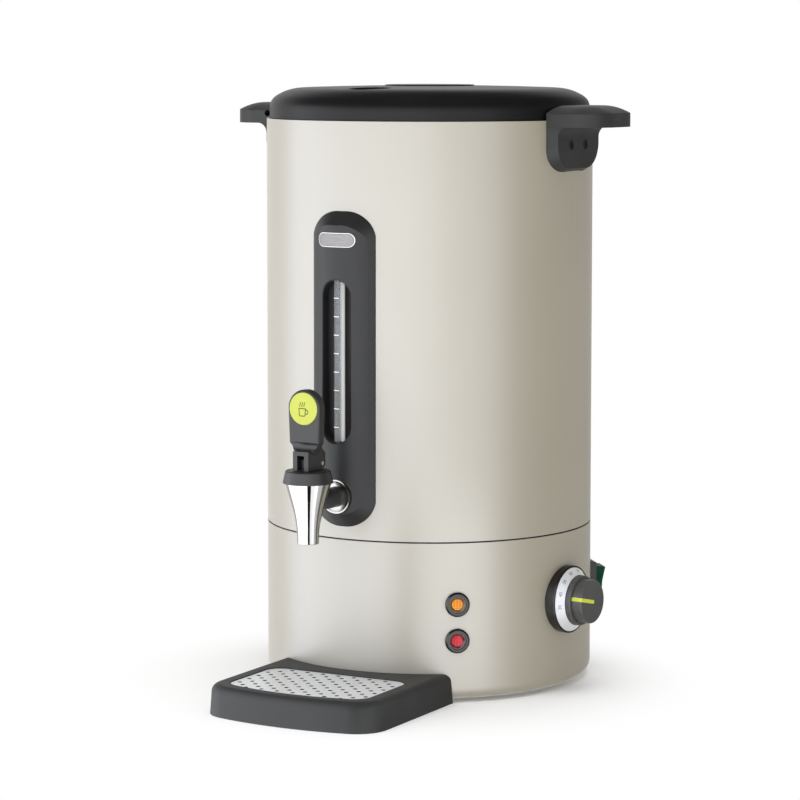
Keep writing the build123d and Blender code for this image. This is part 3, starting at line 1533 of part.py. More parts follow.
terminal_top = plate_top + terminal_height
with BuildPart() as terminal_block:
    with BuildSketch(Plane.XY.offset(plate_top)):
        with Locations((0, terminal_reach)):
            Rectangle(terminal_length, terminal_depth)
    extrude(amount=terminal_height)
    fillet(terminal_block.edges().group_by(Axis.Z)[-1], radius=terminal_edge)
    with BuildSketch(Plane.XY.offset(terminal_top)):
        with Locations((0, terminal_reach)):
            with GridLocations(terminal_length / terminal_ways, 0, terminal_ways, 1):
                Circle(terminal_well_diameter / 2)
    extrude(amount=-terminal_well_depth, mode=Mode.SUBTRACT)
keep(terminal_block, "terminal_block")
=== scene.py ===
from math import atan2, cos, degrees, pi, radians, sin, tan, tau

import bpy
from mathutils import Matrix, Vector


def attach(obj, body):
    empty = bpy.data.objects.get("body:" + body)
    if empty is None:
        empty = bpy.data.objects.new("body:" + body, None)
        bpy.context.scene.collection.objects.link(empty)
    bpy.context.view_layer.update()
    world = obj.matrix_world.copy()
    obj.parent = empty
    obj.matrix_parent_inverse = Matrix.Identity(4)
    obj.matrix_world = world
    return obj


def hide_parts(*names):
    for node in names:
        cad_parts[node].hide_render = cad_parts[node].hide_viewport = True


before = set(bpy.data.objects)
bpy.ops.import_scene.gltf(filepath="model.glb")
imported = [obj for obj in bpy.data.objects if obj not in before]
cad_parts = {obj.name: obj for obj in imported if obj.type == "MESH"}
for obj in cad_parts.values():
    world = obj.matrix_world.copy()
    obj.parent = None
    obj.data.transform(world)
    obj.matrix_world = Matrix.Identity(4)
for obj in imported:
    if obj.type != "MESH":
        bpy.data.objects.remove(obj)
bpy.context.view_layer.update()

# Places on the part, in metres and radians
MM = 0.001
BODY_RADIUS = 124.5 * MM
KNOB_ANGLE = radians(86.3)
KNOB_HEIGHT = 68.5 * MM
LAMP_ANGLE = radians(40.4)
AMBER_HEIGHT = 73.4 * MM
RED_HEIGHT = 46.4 * MM
SWITCH_ANGLE = radians(133.3)
SWITCH_HEIGHT = 67.0 * MM
HANDLE_SCREW_HEIGHT = 409.0 * MM
HANDLE_SCREW_ASIDE = 11.0 * MM
BASE_SCREW_ASIDE = 75.165 * MM
BADGE_HEIGHT = 340.86 * MM
TUBE_Y = -128.7 * MM
DISC_FACE_Y = -177.3 * MM
DISC_HEIGHT = 221.3 * MM

# Band that most of a noise lies in, and the band of a hazy surface
NOISE_LOW, NOISE_HIGH = 0.3, 0.7
HAZE_LOW, HAZE_HIGH = 0.35, 0.75
FINE_GRAIN = 1300.0
BRUSH_SCALE = 90.0
GRAIN_DEPTH = 0.3 * MM

# Sockets of the Mix node that carry its share and its colours
MIX_SHARE, MIX_FIRST, MIX_SECOND, MIX_RESULT = 0, 6, 7, 2
WHITE = (1, 1, 1, 1)


# Shader maths: a value is a socket, and an operator adds a Math node
class Value:
    def __init__(self, finish, socket):
        self.finish = finish
        self.socket = socket

    def math(self, operation, *others):
        return self.finish.node("ShaderNodeMath", {"operation": operation}, self, *others)

    def __add__(self, other):
        return self.math("ADD", other)

    def __sub__(self, other):
        return self.math("SUBTRACT", other)

    def __rsub__(self, other):
        return self.finish.node("ShaderNodeMath", {"operation": "SUBTRACT"}, other, self)

    def __mul__(self, other):
        return self.math("MULTIPLY", other)

    def __abs__(self):
        return self.math("ABSOLUTE")

    def __lt__(self, other):
        return self.math("LESS_THAN", other)

    def __gt__(self, other):
        return self.math("GREATER_THAN", other)

    def larger(self, other):
        return self.math("MAXIMUM", other)

    def root(self):
        return self.math("SQRT")


class Finish:
    """One material: a Principled shader, its fixed values and what varies over it."""

    def __init__(self, name, **fixed):
        self.material = bpy.data.materials.new(name)
        self.material.use_nodes = True
        self.tree = self.material.node_tree
        self.shader = self.tree.nodes["Principled BSDF"]
        for socket, value in fixed.items():
            self.shader.inputs[socket.replace("_", " ")].default_value = value

    def node(self, kind, settings=None, *values, out=0, **named):
        """Add a node with its settings and inputs, and give one of its outputs."""
        made = self.tree.nodes.new(kind)
        for key, value in (settings or {}).items():
            setattr(made, key, value)
        for place, value in list(enumerate(values)) + list(named.items()):
            socket = made.inputs[place if isinstance(place, int) else place.replace("_", " ")]
            self.set_input(socket, value)
        return Value(self, made.outputs[out])

    def set_input(self, socket, value):
        """Link a value to a socket, or set a plain number or colour on it."""
        if isinstance(value, Value):
            self.tree.links.new(value.socket, socket)
        else:
            socket.default_value = value

    def feed(self, socket, value):
        """Let a value vary an input of the shader."""
        self.tree.links.new(value.socket, self.shader.inputs[socket])

    def place(self, scale=(1, 1, 1), turn=(0, 0, 0)):
        """Object coordinates, turned and stretched."""
        where = self.node("ShaderNodeTexCoord", out="Object")
        return self.node("ShaderNodeMapping", Vector=where, Rotation=turn, Scale=scale)

    def axes(self, where):
        """The three numbers of a place."""
        split = self.tree.nodes.new("ShaderNodeSeparateXYZ")
        self.tree.links.new(where.socket, split.inputs[0])
        return [Value(self, socket) for socket in split.outputs]

    def noise(self, where, scale, detail=3.0, rough=0.5):
        return self.node("ShaderNodeTexNoise", Vector=where, Scale=scale, Detail=detail,
                         Roughness=rough)

    def mix(self, share, first, second):
        """Colour between two colours."""
        made = self.tree.nodes.new("ShaderNodeMix")
        made.data_type = "RGBA"
        for place, value in ((MIX_SHARE, share), (MIX_FIRST, first), (MIX_SECOND, second)):
            self.set_input(made.inputs[place], value)
        return Value(self, made.outputs[MIX_RESULT])

    def span(self, value, low, high, new_low=0.0, new_high=1.0):
        """Even change from one range of numbers to another."""
        return self.node("ShaderNodeMapRange", None, value, low, high, new_low, new_high)

    def spread(self, noise, new_low=0.0, new_high=1.0):
        """The usual band of a noise, spread over a range."""
        return self.span(noise, NOISE_LOW, NOISE_HIGH, new_low, new_high)

    def fade(self, value, low, high, new_low, new_high):
        """Soft change from one number to another."""
        return self.node("ShaderNodeMapRange", {"interpolation_type": "SMOOTHSTEP"},
                         value, low, high, new_low, new_high)

    def bump(self, height, strength, distance=GRAIN_DEPTH):
        raised = self.node("ShaderNodeBump", Strength=strength, Distance=distance, Height=height)
        self.feed("Normal", raised)


class Surround(Finish):
    """The world round the set, with the same node tools."""

    def __init__(self, name):
        self.world = bpy.data.worlds.new(name)
        self.world.use_nodes = True
        self.tree = self.world.node_tree


def linear(red, green, blue):
    """Screen colour, 0 to 255, as a linear colour."""
    def one(level):
        level /= 255
        return level / 12.92 if level <= 0.04045 else ((level + 0.055) / 1.055) ** 2.4
    return (one(red), one(green), one(blue), 1.0)


def scaled(shade, factor):
    """A lighter or darker shade of a colour."""
    return tuple(level * factor for level in shade[:3]) + (1.0,)


# Finishes; rough gives the least and greatest roughness
def body_paint():
    """Warm pale paint under a soft clear sheen."""
    paint = Finish("body_paint", Specular_IOR_Level=0.6, Coat_Weight=1.0, Coat_IOR=1.75,
                   Coat_Roughness=0.40)
    where = paint.place()
    cloud = paint.noise(where, scale=9.0, detail=2.0)
    paint.feed("Base Color", paint.mix(paint.spread(cloud),
                                       linear(173, 164, 142), linear(177, 168, 146)))
    grain = paint.noise(where, scale=1500.0, detail=2.0)
    paint.feed("Roughness", paint.spread(grain, 0.44, 0.54))
    paint.bump(grain, strength=0.08)
    return paint.material


def black_moulding(name, shade, rough, grain_scale=FINE_GRAIN, grain_strength=0.07, gloss=0.42):
    """Grained black plastic, its sheen tinted to stay neutral under the cool panels."""
    plastic = Finish(name, Specular_IOR_Level=gloss, Specular_Tint=(1.0, 0.93, 0.80, 1.0))
    where = plastic.place()
    cloud = plastic.noise(where, scale=40.0)
    plastic.feed("Base Color", plastic.mix(plastic.spread(cloud), shade, scaled(shade, 1.25)))
    grain = plastic.noise(where, scale=grain_scale)
    plastic.feed("Roughness", plastic.spread(grain, *rough))
    plastic.bump(grain, strength=grain_strength)
    return plastic.material


def chrome_plate(name, shade, rough):
    """Plated metal with a faint haze."""
    plate = Finish(name, Metallic=1.0)
    haze = plate.noise(plate.place(), scale=60.0, detail=4.0)
    plate.feed("Base Color", plate.mix(plate.span(haze, HAZE_LOW, NOISE_HIGH),
                                       shade, scaled(shade, 0.92)))
    plate.feed("Roughness", plate.span(haze, HAZE_LOW, HAZE_HIGH, *rough))
    return plate.material


def brushed_steel(name, shade, stretch, rough, metallic=1.0, painted_hole_shade=False):
    """Metal with fine lines; for a punched sheet the walls of its holes are painted near black as
    shade.
    """
    steel = Finish(name, Metallic=metallic)
    lines = steel.noise(steel.place(scale=stretch), BRUSH_SCALE, detail=4.0, rough=0.6)
    face = steel.mix(steel.spread(lines), scaled(shade, 0.82), shade)
    if painted_hole_shade:
        x, y, z = steel.axes(steel.node("ShaderNodeTexCoord", out="Normal"))
        # Painted shade: upright faces, such as the hole walls, are coloured near black
        face = steel.mix(abs(z) < 0.5, face, linear(14, 14, 15))
    steel.feed("Base Color", face)
    steel.feed("Roughness", steel.spread(lines, *rough))
    steel.bump(lines, strength=0.12, distance=0.2 * MM)
    return steel.material


def soft_rubber(name, shade, rough):
    rubber = Finish(name, Specular_IOR_Level=0.35)
    grain = rubber.noise(rubber.place(), scale=700.0)
    rubber.feed("Base Color", rubber.mix(grain, shade, scaled(shade, 1.3)))
    rubber.feed("Roughness", rubber.spread(grain, *rough))
    rubber.bump(grain, strength=0.15)
    return rubber.material


def fibre_mat():
    """Tufted insulating mat."""
    mat = Finish("fibre_mat", Roughness=0.95, Specular_IOR_Level=0.1)
    tufts = mat.noise(mat.place(scale=(1, 1, 3)), scale=160.0, detail=5.0, rough=0.7)
    mat.feed("Base Color", mat.mix(tufts, linear(180, 168, 132), linear(226, 218, 190)))
    mat.bump(tufts, strength=0.5, distance=2.0 * MM)
    return mat.material


def gloss_plastic(name, shade, rough):
    plastic = Finish(name, Specular_IOR_Level=0.5)
    cloud = plastic.noise(plastic.place(), scale=120.0)
    plastic.feed("Base Color", plastic.mix(cloud, scaled(shade, 0.94), shade))
    plastic.feed("Roughness", plastic.spread(cloud, *rough))
    return plastic.material


def clear_tube():
    """Clear tube with a bright outer gloss."""
    tube = Finish("clear_tube", Alpha=0.10, Specular_IOR_Level=0.5, Coat_Weight=1.0,
                  Coat_Roughness=0.04)
    haze = tube.noise(tube.place(), scale=80.0)
    tube.feed("Base Color", tube.mix(haze, linear(214, 217, 218), linear(226, 228, 229)))
    tube.feed("Roughness", tube.span(haze, HAZE_LOW, HAZE_HIGH, 0.03, 0.08))
    return tube.material


def cross_recess(u, v, half_width, half_length):
    """Mask of a cross-shaped driver recess round u = v = 0."""
    along = (abs(u) < half_width) * (abs(v) < half_length)
    across = (abs(v) < half_width) * (abs(u) < half_length)
    return along.larger(across)


def screw_metal(name, shade, centre):
    """Screw heads whose cross recess is bumped in and painted near black as shade; centre gives two
    distances from a head's middle.
    """
    metal = Finish(name, Metallic=0.9)
    where = metal.place()
    haze = metal.noise(where, scale=500.0)
    u, v = centre(*metal.axes(where))
    recess = cross_recess(u, v, half_width=0.55 * MM, half_length=2.1 * MM)
    # Painted shade: the cross recess is coloured near black
    metal.feed("Base Color", metal.mix(recess, shade, linear(6, 6, 6)))
    metal.feed("Roughness", metal.spread(haze, 0.34, 0.48))
    metal.bump(1 - recess, strength=0.8, distance=0.6 * MM)
    return metal.material


def badge_silver():
    """Brushed blank plate with a groove, painted darker as shade, inside a raised bright rim."""
    half_straight, rim_start = 10.55 * MM, 4.6 * MM
    groove_reach, groove_half_width = 4.45 * MM, 0.16 * MM
    plate = Finish("badge_silver", Metallic=0.8)
    x, y, z = plate.axes(plate.place())
    off = (abs(x) - half_straight).larger(0.0)
    up = z - BADGE_HEIGHT
    reach = (off * off + up * up).root()
    groove = abs(reach - groove_reach) < groove_half_width
    rim = reach > rim_start
    lines = plate.noise(plate.place(scale=(1, 18, 18)), BRUSH_SCALE, detail=4.0, rough=0.6)
    shade = plate.mix(plate.spread(lines), linear(102, 98, 92), linear(124, 119, 112))
    shade = plate.mix(rim, shade, linear(164, 158, 150))
    # Painted shade: the groove is coloured darker than the plate
    plate.feed("Base Color", plate.mix(groove, shade, linear(96, 96, 97)))
    plate.feed("Roughness", plate.spread(lines, 0.38, 0.50) - rim * 0.14)
    plate.bump(rim - groove, strength=0.5)
    return plate.material


def dial_silver():
    """Spun pale metal, with fine rings about the knob's axis."""
    ring = Finish("dial_silver", Metallic=0.15)
    x, y, z = ring.axes(ring.place())
    u = x * cos(KNOB_ANGLE) + y * sin(KNOB_ANGLE)
    v = z - KNOB_HEIGHT
    reach = (u * u + v * v).root()
    turned = ring.node("ShaderNodeTexNoise", {"noise_dimensions": "1D"}, W=reach,
                       Scale=5200.0, Detail=2.0)
    ring.feed("Base Color", ring.mix(ring.spread(turned),
                                     linear(226, 226, 226), linear(240, 240, 240)))
    ring.feed("Roughness", ring.spread(turned, 0.30, 0.42))
    ring.bump(turned, strength=0.05, distance=0.2 * MM)
    return ring.material


def lens_plastic(name, deep, bright, glow):
    """Tinted lens core of small cells, lit from behind."""
    lens = Finish(name, Specular_IOR_Level=0.6, Emission_Strength=glow, Coat_Weight=0.6,
                  Coat_Roughness=0.05)
    cloud = lens.noise(lens.place(), scale=260.0)
    slanting = lens.place(scale=(1, 0.001, 1), turn=(0, radians(45), 0))
    cells = lens.node("ShaderNodeTexChecker", None, slanting, Scale=900.0, out="Fac")
    shade = lens.mix(lens.span(cells + cloud, 0.35, 1.65), deep, bright)
    lens.feed("Base Color", shade)
    lens.feed("Emission Color", shade)
    lens.feed("Roughness", lens.spread(cloud, 0.10, 0.20))
    return lens.material


def rocker_plastic():
    button = Finish("rocker_green", Specular_IOR_Level=0.08)
    cloud = button.noise(button.place(), scale=90.0)
    button.feed("Base Color", button.mix(button.spread(cloud),
                                         linear(4, 52, 32), linear(8, 74, 46)))
    button.feed("Roughness", button.spread(cloud, 0.40, 0.50))
    return button.material


def print_ink(name, shade, glow=0.0):
    """Flat printed colour with a fine grain; glow makes it shine as painted light."""
    ink = Finish(name, Specular_IOR_Level=0.3, Emission_Strength=glow, Emission_Color=shade)
    grain = ink.noise(ink.place(), scale=2600.0, detail=2.0)
    light = tuple(min(1.0, level * 1.12 + 0.002) for level in shade[:3]) + (1.0,)
    ink.feed("Base Color", ink.mix(grain, shade, light))
    ink.feed("Roughness", ink.spread(grain, 0.5, 0.62))
    return ink.material


PAINT = body_paint()
LID_BLACK = black_moulding("lid_black", linear(19, 19, 20), (0.36, 0.44),
                           grain_strength=0.06, gloss=0.17)
HANDLE_BLACK = black_moulding("handle_black", linear(50, 50, 50), (0.42, 0.52), gloss=0.22)
PANEL_BLACK = black_moulding("panel_black", linear(31, 31, 32), (0.42, 0.52),
                             grain_strength=0.08, gloss=0.3)
TAP_BLACK = black_moulding("tap_black", linear(32, 32, 32), (0.36, 0.46), gloss=0.40)
TRAY_BLACK = black_moulding("tray_black", linear(38, 38, 38), (0.50, 0.60),
                            grain_strength=0.08, gloss=0.34)
KNOB_BLACK = black_moulding("knob_black", linear(74, 74, 74), (0.34, 0.44), grain_strength=0.06)
GLOSS_BLACK = black_moulding("gloss_black", linear(22, 22, 23), (0.18, 0.26),
                             grain_scale=600.0, grain_strength=0.02)
CHROME = chrome_plate("chrome_plate", linear(160, 156, 146), (0.05, 0.11))
SATIN_CHROME = chrome_plate("satin_chrome", linear(150, 146, 136), (0.20, 0.28))
DARK_STEEL = brushed_steel("dark_steel", linear(64, 64, 66), (3, 3, 3), (0.35, 0.5))
# Punched grid, its hole walls painted near black as shade
GRID_STEEL = brushed_steel("grid_steel", linear(230, 231, 232), (1, 14, 14), (0.30, 0.42),
                           metallic=0.4, painted_hole_shade=True)
TANK_STEEL = brushed_steel("tank_steel", linear(196, 197, 199), (12, 12, 1), (0.28, 0.4),
                           metallic=0.55)
ZINC = brushed_steel("zinc_plate", linear(176, 180, 186), (3, 3, 3), (0.32, 0.46))
ALUMINIUM = brushed_steel("cast_aluminium", linear(190, 190, 190), (2, 2, 2), (0.4, 0.55))
BADGE_SILVER = badge_silver()
DIAL_SILVER = dial_silver()
HANDLE_SCREW = screw_metal("dark_screw", linear(40, 40, 42), lambda x, y, z: (
    abs(y) - HANDLE_SCREW_ASIDE, z - HANDLE_SCREW_HEIGHT))
BASE_SCREW = screw_metal("zinc_screw", linear(176, 180, 186), lambda x, y, z: (
    abs(x) - BASE_SCREW_ASIDE, abs(y) - BASE_SCREW_ASIDE))
AMBER = lens_plastic("amber_lens", linear(216, 124, 4), linear(246, 178, 44), glow=0.30)
RED = lens_plastic("red_lens", linear(172, 4, 18), linear(228, 34, 48), glow=0.26)
AMBER_RING = gloss_plastic("amber_ring", linear(112, 82, 48), (0.06, 0.14))
RED_RING = gloss_plastic("red_ring", linear(96, 44, 44), (0.06, 0.14))
ROCKER_GREEN = rocker_plastic()
DIAL_INK = print_ink("dial_ink", linear(138, 138, 140))
DISC_INK = print_ink("disc_ink", linear(70, 76, 22))
# White ink with a painted glow: it brightens the tube's painted highlight, the ticks and the rocker
# marks
WHITE_INK_PAINTED_GLOW = print_ink("white_ink_painted_glow", linear(240, 240, 238), glow=0.3)
# Painted shade for the sight tube's strips: grey for its shaded side, dark for the line between
# shade and highlight
PAINTED_SHADE_GREY = print_ink("painted_shade_grey", linear(150, 150, 150))
PAINTED_SHADE_LINE = print_ink("painted_shade_line", linear(40, 40, 41))
CARD_BLACK = print_ink("card_black", linear(8, 8, 8))
RUBBER = soft_rubber("dark_rubber", linear(28, 28, 28), (0.6, 0.75))
SILICONE = soft_rubber("white_silicone", linear(205, 202, 196), (0.4, 0.5))
WOOL = fibre_mat()
LIME = gloss_plastic("lime_plastic", linear(222, 229, 62), (0.34, 0.42))
CREAM = gloss_plastic("cream_moulding", linear(222, 216, 200), (0.4, 0.5))
TUBE = clear_tube()

FINISHES = {
    "base_shell": PAINT, "outer_shell": PAINT, "seam_gasket": RUBBER, "tank": TANK_STEEL,
    "insulation_jacket": WOOL, "lid": LID_BLACK, "lid_seal": SILICONE,
    "handle_left": HANDLE_BLACK, "handle_right": HANDLE_BLACK, "handle_screws": HANDLE_SCREW,
    "handle_nut_plates": ZINC, "gauge_panel": PANEL_BLACK, "sight_tube": TUBE,
    "gauge_seals": SILICONE, "badge_plate": BADGE_SILVER, "tap_shank": TAP_BLACK,
    "shank_collar": SATIN_CHROME, "shank_spacer": TAP_BLACK, "shank_gasket": SILICONE,
    "shank_nut": ZINC, "spout": CHROME, "bonnet": TAP_BLACK, "valve_stem": DARK_STEEL,
    "seat_cup": SILICONE, "closing_spring": TANK_STEEL, "lever": TAP_BLACK, "lever_disc": LIME,
    "lever_pin": CHROME, "link_pin": TANK_STEEL, "drip_tray": TRAY_BLACK, "drip_grid": GRID_STEEL,
    "dial_bezel": GLOSS_BLACK, "dial_ring": DIAL_SILVER, "thermostat": CREAM, "capillary": ZINC,
    "knob_shaft": TANK_STEEL, "knob": KNOB_BLACK, "knob_pointer": LIME, "lamp_bezels": GLOSS_BLACK,
    "amber_lens": AMBER, "red_lens": RED, "lamp_bodies": CREAM, "switch_housing": TAP_BLACK,
    "rocker": ROCKER_GREEN, "heater_plate": ALUMINIUM, "heating_element": TANK_STEEL,
    "thermal_cutout": CREAM, "tie_stud": ZINC, "tie_nut": ZINC, "base_plate": ZINC,
    "base_screws": BASE_SCREW, "feet": RUBBER, "cable_gland": TAP_BLACK, "gland_nut": TAP_BLACK,
    "terminal_block": CREAM,
}
for name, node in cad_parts.items():
    node.data.materials.clear()
    node.data.materials.append(FINISHES[name])


# Pieces modelled one by one
def wall_place(angle, height):
    """Place on the body's wall: x runs to the right, y up and z outwards."""
    across = Vector((cos(angle), sin(angle), 0))
    outwards = Vector((sin(angle), -cos(angle), 0))
    facing = Matrix((across, Vector((0, 0, 1)), outwards)).transposed().to_4x4()
    return Matrix.Translation(outwards * BODY_RADIUS + Vector((0, 0, height))) @ facing


def start(name, primitive, **settings):
    """Add one primitive by itself and go into edit mode."""
    bpy.ops.object.select_all(action="DESELECT")
    primitive(**settings)
    piece = bpy.context.object
    piece.name = piece.data.name = name
    bpy.ops.object.mode_set(mode="EDIT")
    return piece


def pick(piece, kind, test):
    """Select the faces or points of a piece that pass a test, and nothing else."""
    bpy.ops.mesh.select_mode(type={"polygons": "FACE", "vertices": "VERT"}[kind])
    bpy.ops.mesh.select_all(action="DESELECT")
    bpy.ops.object.mode_set(mode="OBJECT")
    for element in getattr(piece.data, kind):
        element.select = test(element)
    bpy.ops.object.mode_set(mode="EDIT")


def cut_to_line(width):
    """Leave only a line of some width round the edge of a flat shape."""
    bpy.ops.mesh.select_all(action="SELECT")
    bpy.ops.mesh.inset(thickness=width)
    bpy.ops.mesh.delete(type="FACE")


def apply(piece, kind, **settings):
    """Add a modifier and apply it."""
    change = piece.modifiers.new(kind.lower(), kind)
    for key, value in settings.items():
        setattr(change, key, value)
    bpy.ops.object.modifier_apply(modifier=change.name)


def settle(piece, place, finish, body):
    """Leave edit mode and put a finished piece in its place, on its body."""
    if piece.mode == "EDIT":
        bpy.ops.object.mode_set(mode="OBJECT")
    piece.data.transform(piece.matrix_basis)
    piece.matrix_basis = Matrix.Identity(4)
    piece.data.transform(place)
    piece.data.materials.clear()
    piece.data.materials.append(finish)
    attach(piece, body)


# Print and painted light on the sight tube: the strips paint a highlight, a dark shade line and
# shade round it, and the ticks are print; angles in degrees, from the front to the right
TUBE_PRINT_AND_PAINT_DEPTH = 0.05 * MM
TUBE_SIDES = 120
STRIP_RADIUS, STRIP_LENGTH, STRIP_MIDDLE = 4.03 * MM, 119.0 * MM, 251.4 * MM
# Strips of painted light: the white one is a painted highlight, the dark one a painted shade line,
# the grey one painted shade
PAINTED_LIGHT_STRIPS = (("tube_painted_highlight", 62, 201, WHITE_INK_PAINTED_GLOW), ("tube_painted_dark_line", 201, 207, PAINTED_SHADE_LINE),
          ("tube_painted_grey_shade", 207, 275, PAINTED_SHADE_GREY))
TICK_RADIUS, TICK_LENGTH, TICK_FROM, TICK_TO = 4.02 * MM, 0.7 * MM, -52, 28
TICK_COUNT, TICK_LOW, TICK_PITCH = 8, 203.1 * MM, 13.57 * MM


def tube_print(name, radius, length, height, low, high, finish):
    """A thin shell round the sight tube between two angles; the ticks are print, the strips are
    painted highlight and painted shade.
    """
    strip = start(name, bpy.ops.mesh.primitive_cylinder_add, vertices=TUBE_SIDES, radius=radius,
                  depth=length)
    pick(strip, "polygons", lambda face: abs(face.normal.z) > 0.5
         or (degrees(atan2(face.center.x, -face.center.y)) - low) % 360 > high - low)
    bpy.ops.mesh.delete(type="FACE")
    bpy.ops.object.mode_set(mode="OBJECT")
    apply(strip, "SOLIDIFY", thickness=TUBE_PRINT_AND_PAINT_DEPTH, offset=1.0)
    settle(strip, Matrix.Translation((0, TUBE_Y, height)), finish, "dispenser")


# Numbers on the sloping dial ring, and each one's place round it in degrees
DIAL_PRINT_DEPTH = 0.06 * MM
DIAL_TEXT_SIZE = 3.6 * MM
DIAL_SLOPE = atan2(5.2, 5.0)
DIAL_MIDDLE_RADIUS, DIAL_MIDDLE_RISE = 21.45 * MM, 8.35 * MM
DIAL_NUMBERS = {30: -7.4, 40: 18.5, 50: 46.0, 60: 73.0, 70: 99.5, 80: 126.0, 90: 152.5,
                100: 179.0, 110: 205.0}


def printed_text(name, body_text, size, depth):
    """Flat lettering in the x-y plane, centred, as a thin mesh."""
    bpy.ops.object.select_all(action="DESELECT")
    bpy.ops.object.text_add()
    words = bpy.context.object
    words.name = name
    words.data.body = body_text
    words.data.size = size
    words.data.align_x, words.data.align_y = "CENTER", "CENTER"
    words.data.extrude = depth
    words.data.resolution_u = 4
    bpy.ops.object.convert(target="MESH")
    return bpy.context.object


def dial_number(number, turn):
    """Scale number on the sloping dial ring, its top outwards."""
    words = printed_text(f"dial_number_{number}", str(number), DIAL_TEXT_SIZE, DIAL_PRINT_DEPTH)
    away = Vector((-cos(turn), sin(turn), 0))
    up = Vector((0, 0, 1))
    lean = away * cos(DIAL_SLOPE) - up * sin(DIAL_SLOPE)
    normal = away * sin(DIAL_SLOPE) + up * cos(DIAL_SLOPE)
    facing = Matrix((lean.cross(normal), lean, normal)).transposed().to_4x4()
    middle = away * DIAL_MIDDLE_RADIUS + up * DIAL_MIDDLE_RISE + normal * DIAL_PRINT_DEPTH
    place = wall_place(KNOB_ANGLE, KNOB_HEIGHT) @ Matrix.Translation(middle) @ facing
    settle(words, place, DIAL_INK, "dispenser")


# Lamp lenses: land and slope of the rim, the step inside it, and the core's cells
LENS_SIDES, LENS_RADIUS, LENS_DEPTH, LENS_SINK = 64, 6.2 * MM, 6.0 * MM, 1.0 * MM
LENS_LAND, LENS_SLOPE, LENS_SLOPE_FALL = 0.5 * MM, 1.45 * MM, 0.9 * MM
LENS_STEP, LENS_STEP_FALL, LENS_EDGE = 0.35 * MM, 1.0 * MM, 0.18 * MM
CORE_CELLS, CORE_SIZE, CORE_LIFT, CORE_RADIUS = 13, 10.0 * MM, 0.55 * MM, 4.75 * MM
CORE_PEAK, CORE_DEPTH = 0.34 * MM, 0.4 * MM


def lamp_lens(colour, height, core_finish, ring_finish):
    """Round lens: a sloping clear rim round a lit core of small pyramids."""
    rim = start(f"{colour}_lens_rim", bpy.ops.mesh.primitive_cylinder_add, vertices=LENS_SIDES,
                radius=LENS_RADIUS, depth=LENS_DEPTH, location=(0, 0, -LENS_SINK))
    pick(rim, "polygons", lambda face: face.normal.z > 0.5)
    bpy.ops.mesh.inset(thickness=LENS_LAND)
    bpy.ops.mesh.inset(thickness=LENS_SLOPE)
    bpy.ops.transform.translate(value=(0, 0, -LENS_SLOPE_FALL))
    bpy.ops.mesh.inset(thickness=LENS_STEP)
    bpy.ops.transform.translate(value=(0, 0, -LENS_STEP_FALL))
    bpy.ops.mesh.select_all(action="SELECT")
    bpy.ops.object.mode_set(mode="OBJECT")
    apply(rim, "BEVEL", width=LENS_EDGE, segments=2, limit_method="ANGLE",
          angle_limit=radians(30))
    bpy.ops.object.shade_smooth_by_angle(angle=radians(35))
    place = wall_place(LAMP_ANGLE, height)
    settle(rim, place, ring_finish, "dispenser")
    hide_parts(f"{colour}_lens")
    core = start(f"{colour}_lens_core", bpy.ops.mesh.primitive_grid_add, size=CORE_SIZE,
                 x_subdivisions=CORE_CELLS, y_subdivisions=CORE_CELLS, location=(0, 0, CORE_LIFT))
    bpy.ops.transform.rotate(value=radians(45), orient_axis="Z", center_override=(0, 0, 0))
    pick(core, "polygons", lambda face: face.center.xy.length > CORE_RADIUS)
    bpy.ops.mesh.delete(type="FACE")
    bpy.ops.mesh.select_all(action="SELECT")
    bpy.ops.mesh.poke(offset=CORE_PEAK)
    bpy.ops.object.mode_set(mode="OBJECT")
    apply(core, "SOLIDIFY", thickness=CORE_DEPTH, offset=-1.0)
    settle(core, place, core_finish, "dispenser")


# Mug sign on the lever's disc: places are to the right and up from the disc's middle
DISC_PRINT_DEPTH = 0.06 * MM
MUG_WIDTH, MUG_HEIGHT, MUG_CORNER, MUG_LINE = 6.4 * MM, 6.0 * MM, 1.3 * MM, 0.62 * MM
MUG_FOOT_SHARE = 0.84
MUG_PLACE = (-0.9 * MM, -2.6 * MM, 0)
EAR_RADIUS, EAR_LINE, EAR_CUT = 1.9 * MM, 0.6 * MM, -0.35 * MM
EAR_PLACE = (2.35 * MM, -2.3 * MM, 0)
STEAM_WIDTH, STEAM_LENGTH, STEAM_WAVE, STEAM_STEPS = 0.55 * MM, 3.4 * MM, 0.36 * MM, 16
STEAM_ASIDE, STEAM_HEIGHT = (-2.7 * MM, -0.9 * MM, 0.9 * MM), 3.1 * MM


def disc_steam(name):
    """Upright printed stroke with a wave, in the x-y plane."""
    stroke = start(name, bpy.ops.mesh.primitive_grid_add, x_subdivisions=1,
                   y_subdivisions=STEAM_STEPS, size=1.0)
    bpy.ops.transform.resize(value=(STEAM_WIDTH, STEAM_LENGTH, 1))
    bpy.ops.object.mode_set(mode="OBJECT")
    for point in stroke.data.vertices:
        point.co.x += STEAM_WAVE * sin(point.co.y / STEAM_LENGTH * tau)
    return stroke


def disc_print(piece, place):
    """Thicken a flat printed shape and put it on the front of the lever's disc."""
    bpy.ops.object.mode_set(mode="OBJECT")
    apply(piece, "SOLIDIFY", thickness=DISC_PRINT_DEPTH, offset=1.0)
    front = Matrix.Translation((0, DISC_FACE_Y, DISC_HEIGHT)) @ Matrix.Rotation(radians(90), 4, "X")
    settle(piece, front @ Matrix.Translation(place), DISC_INK, "lever")


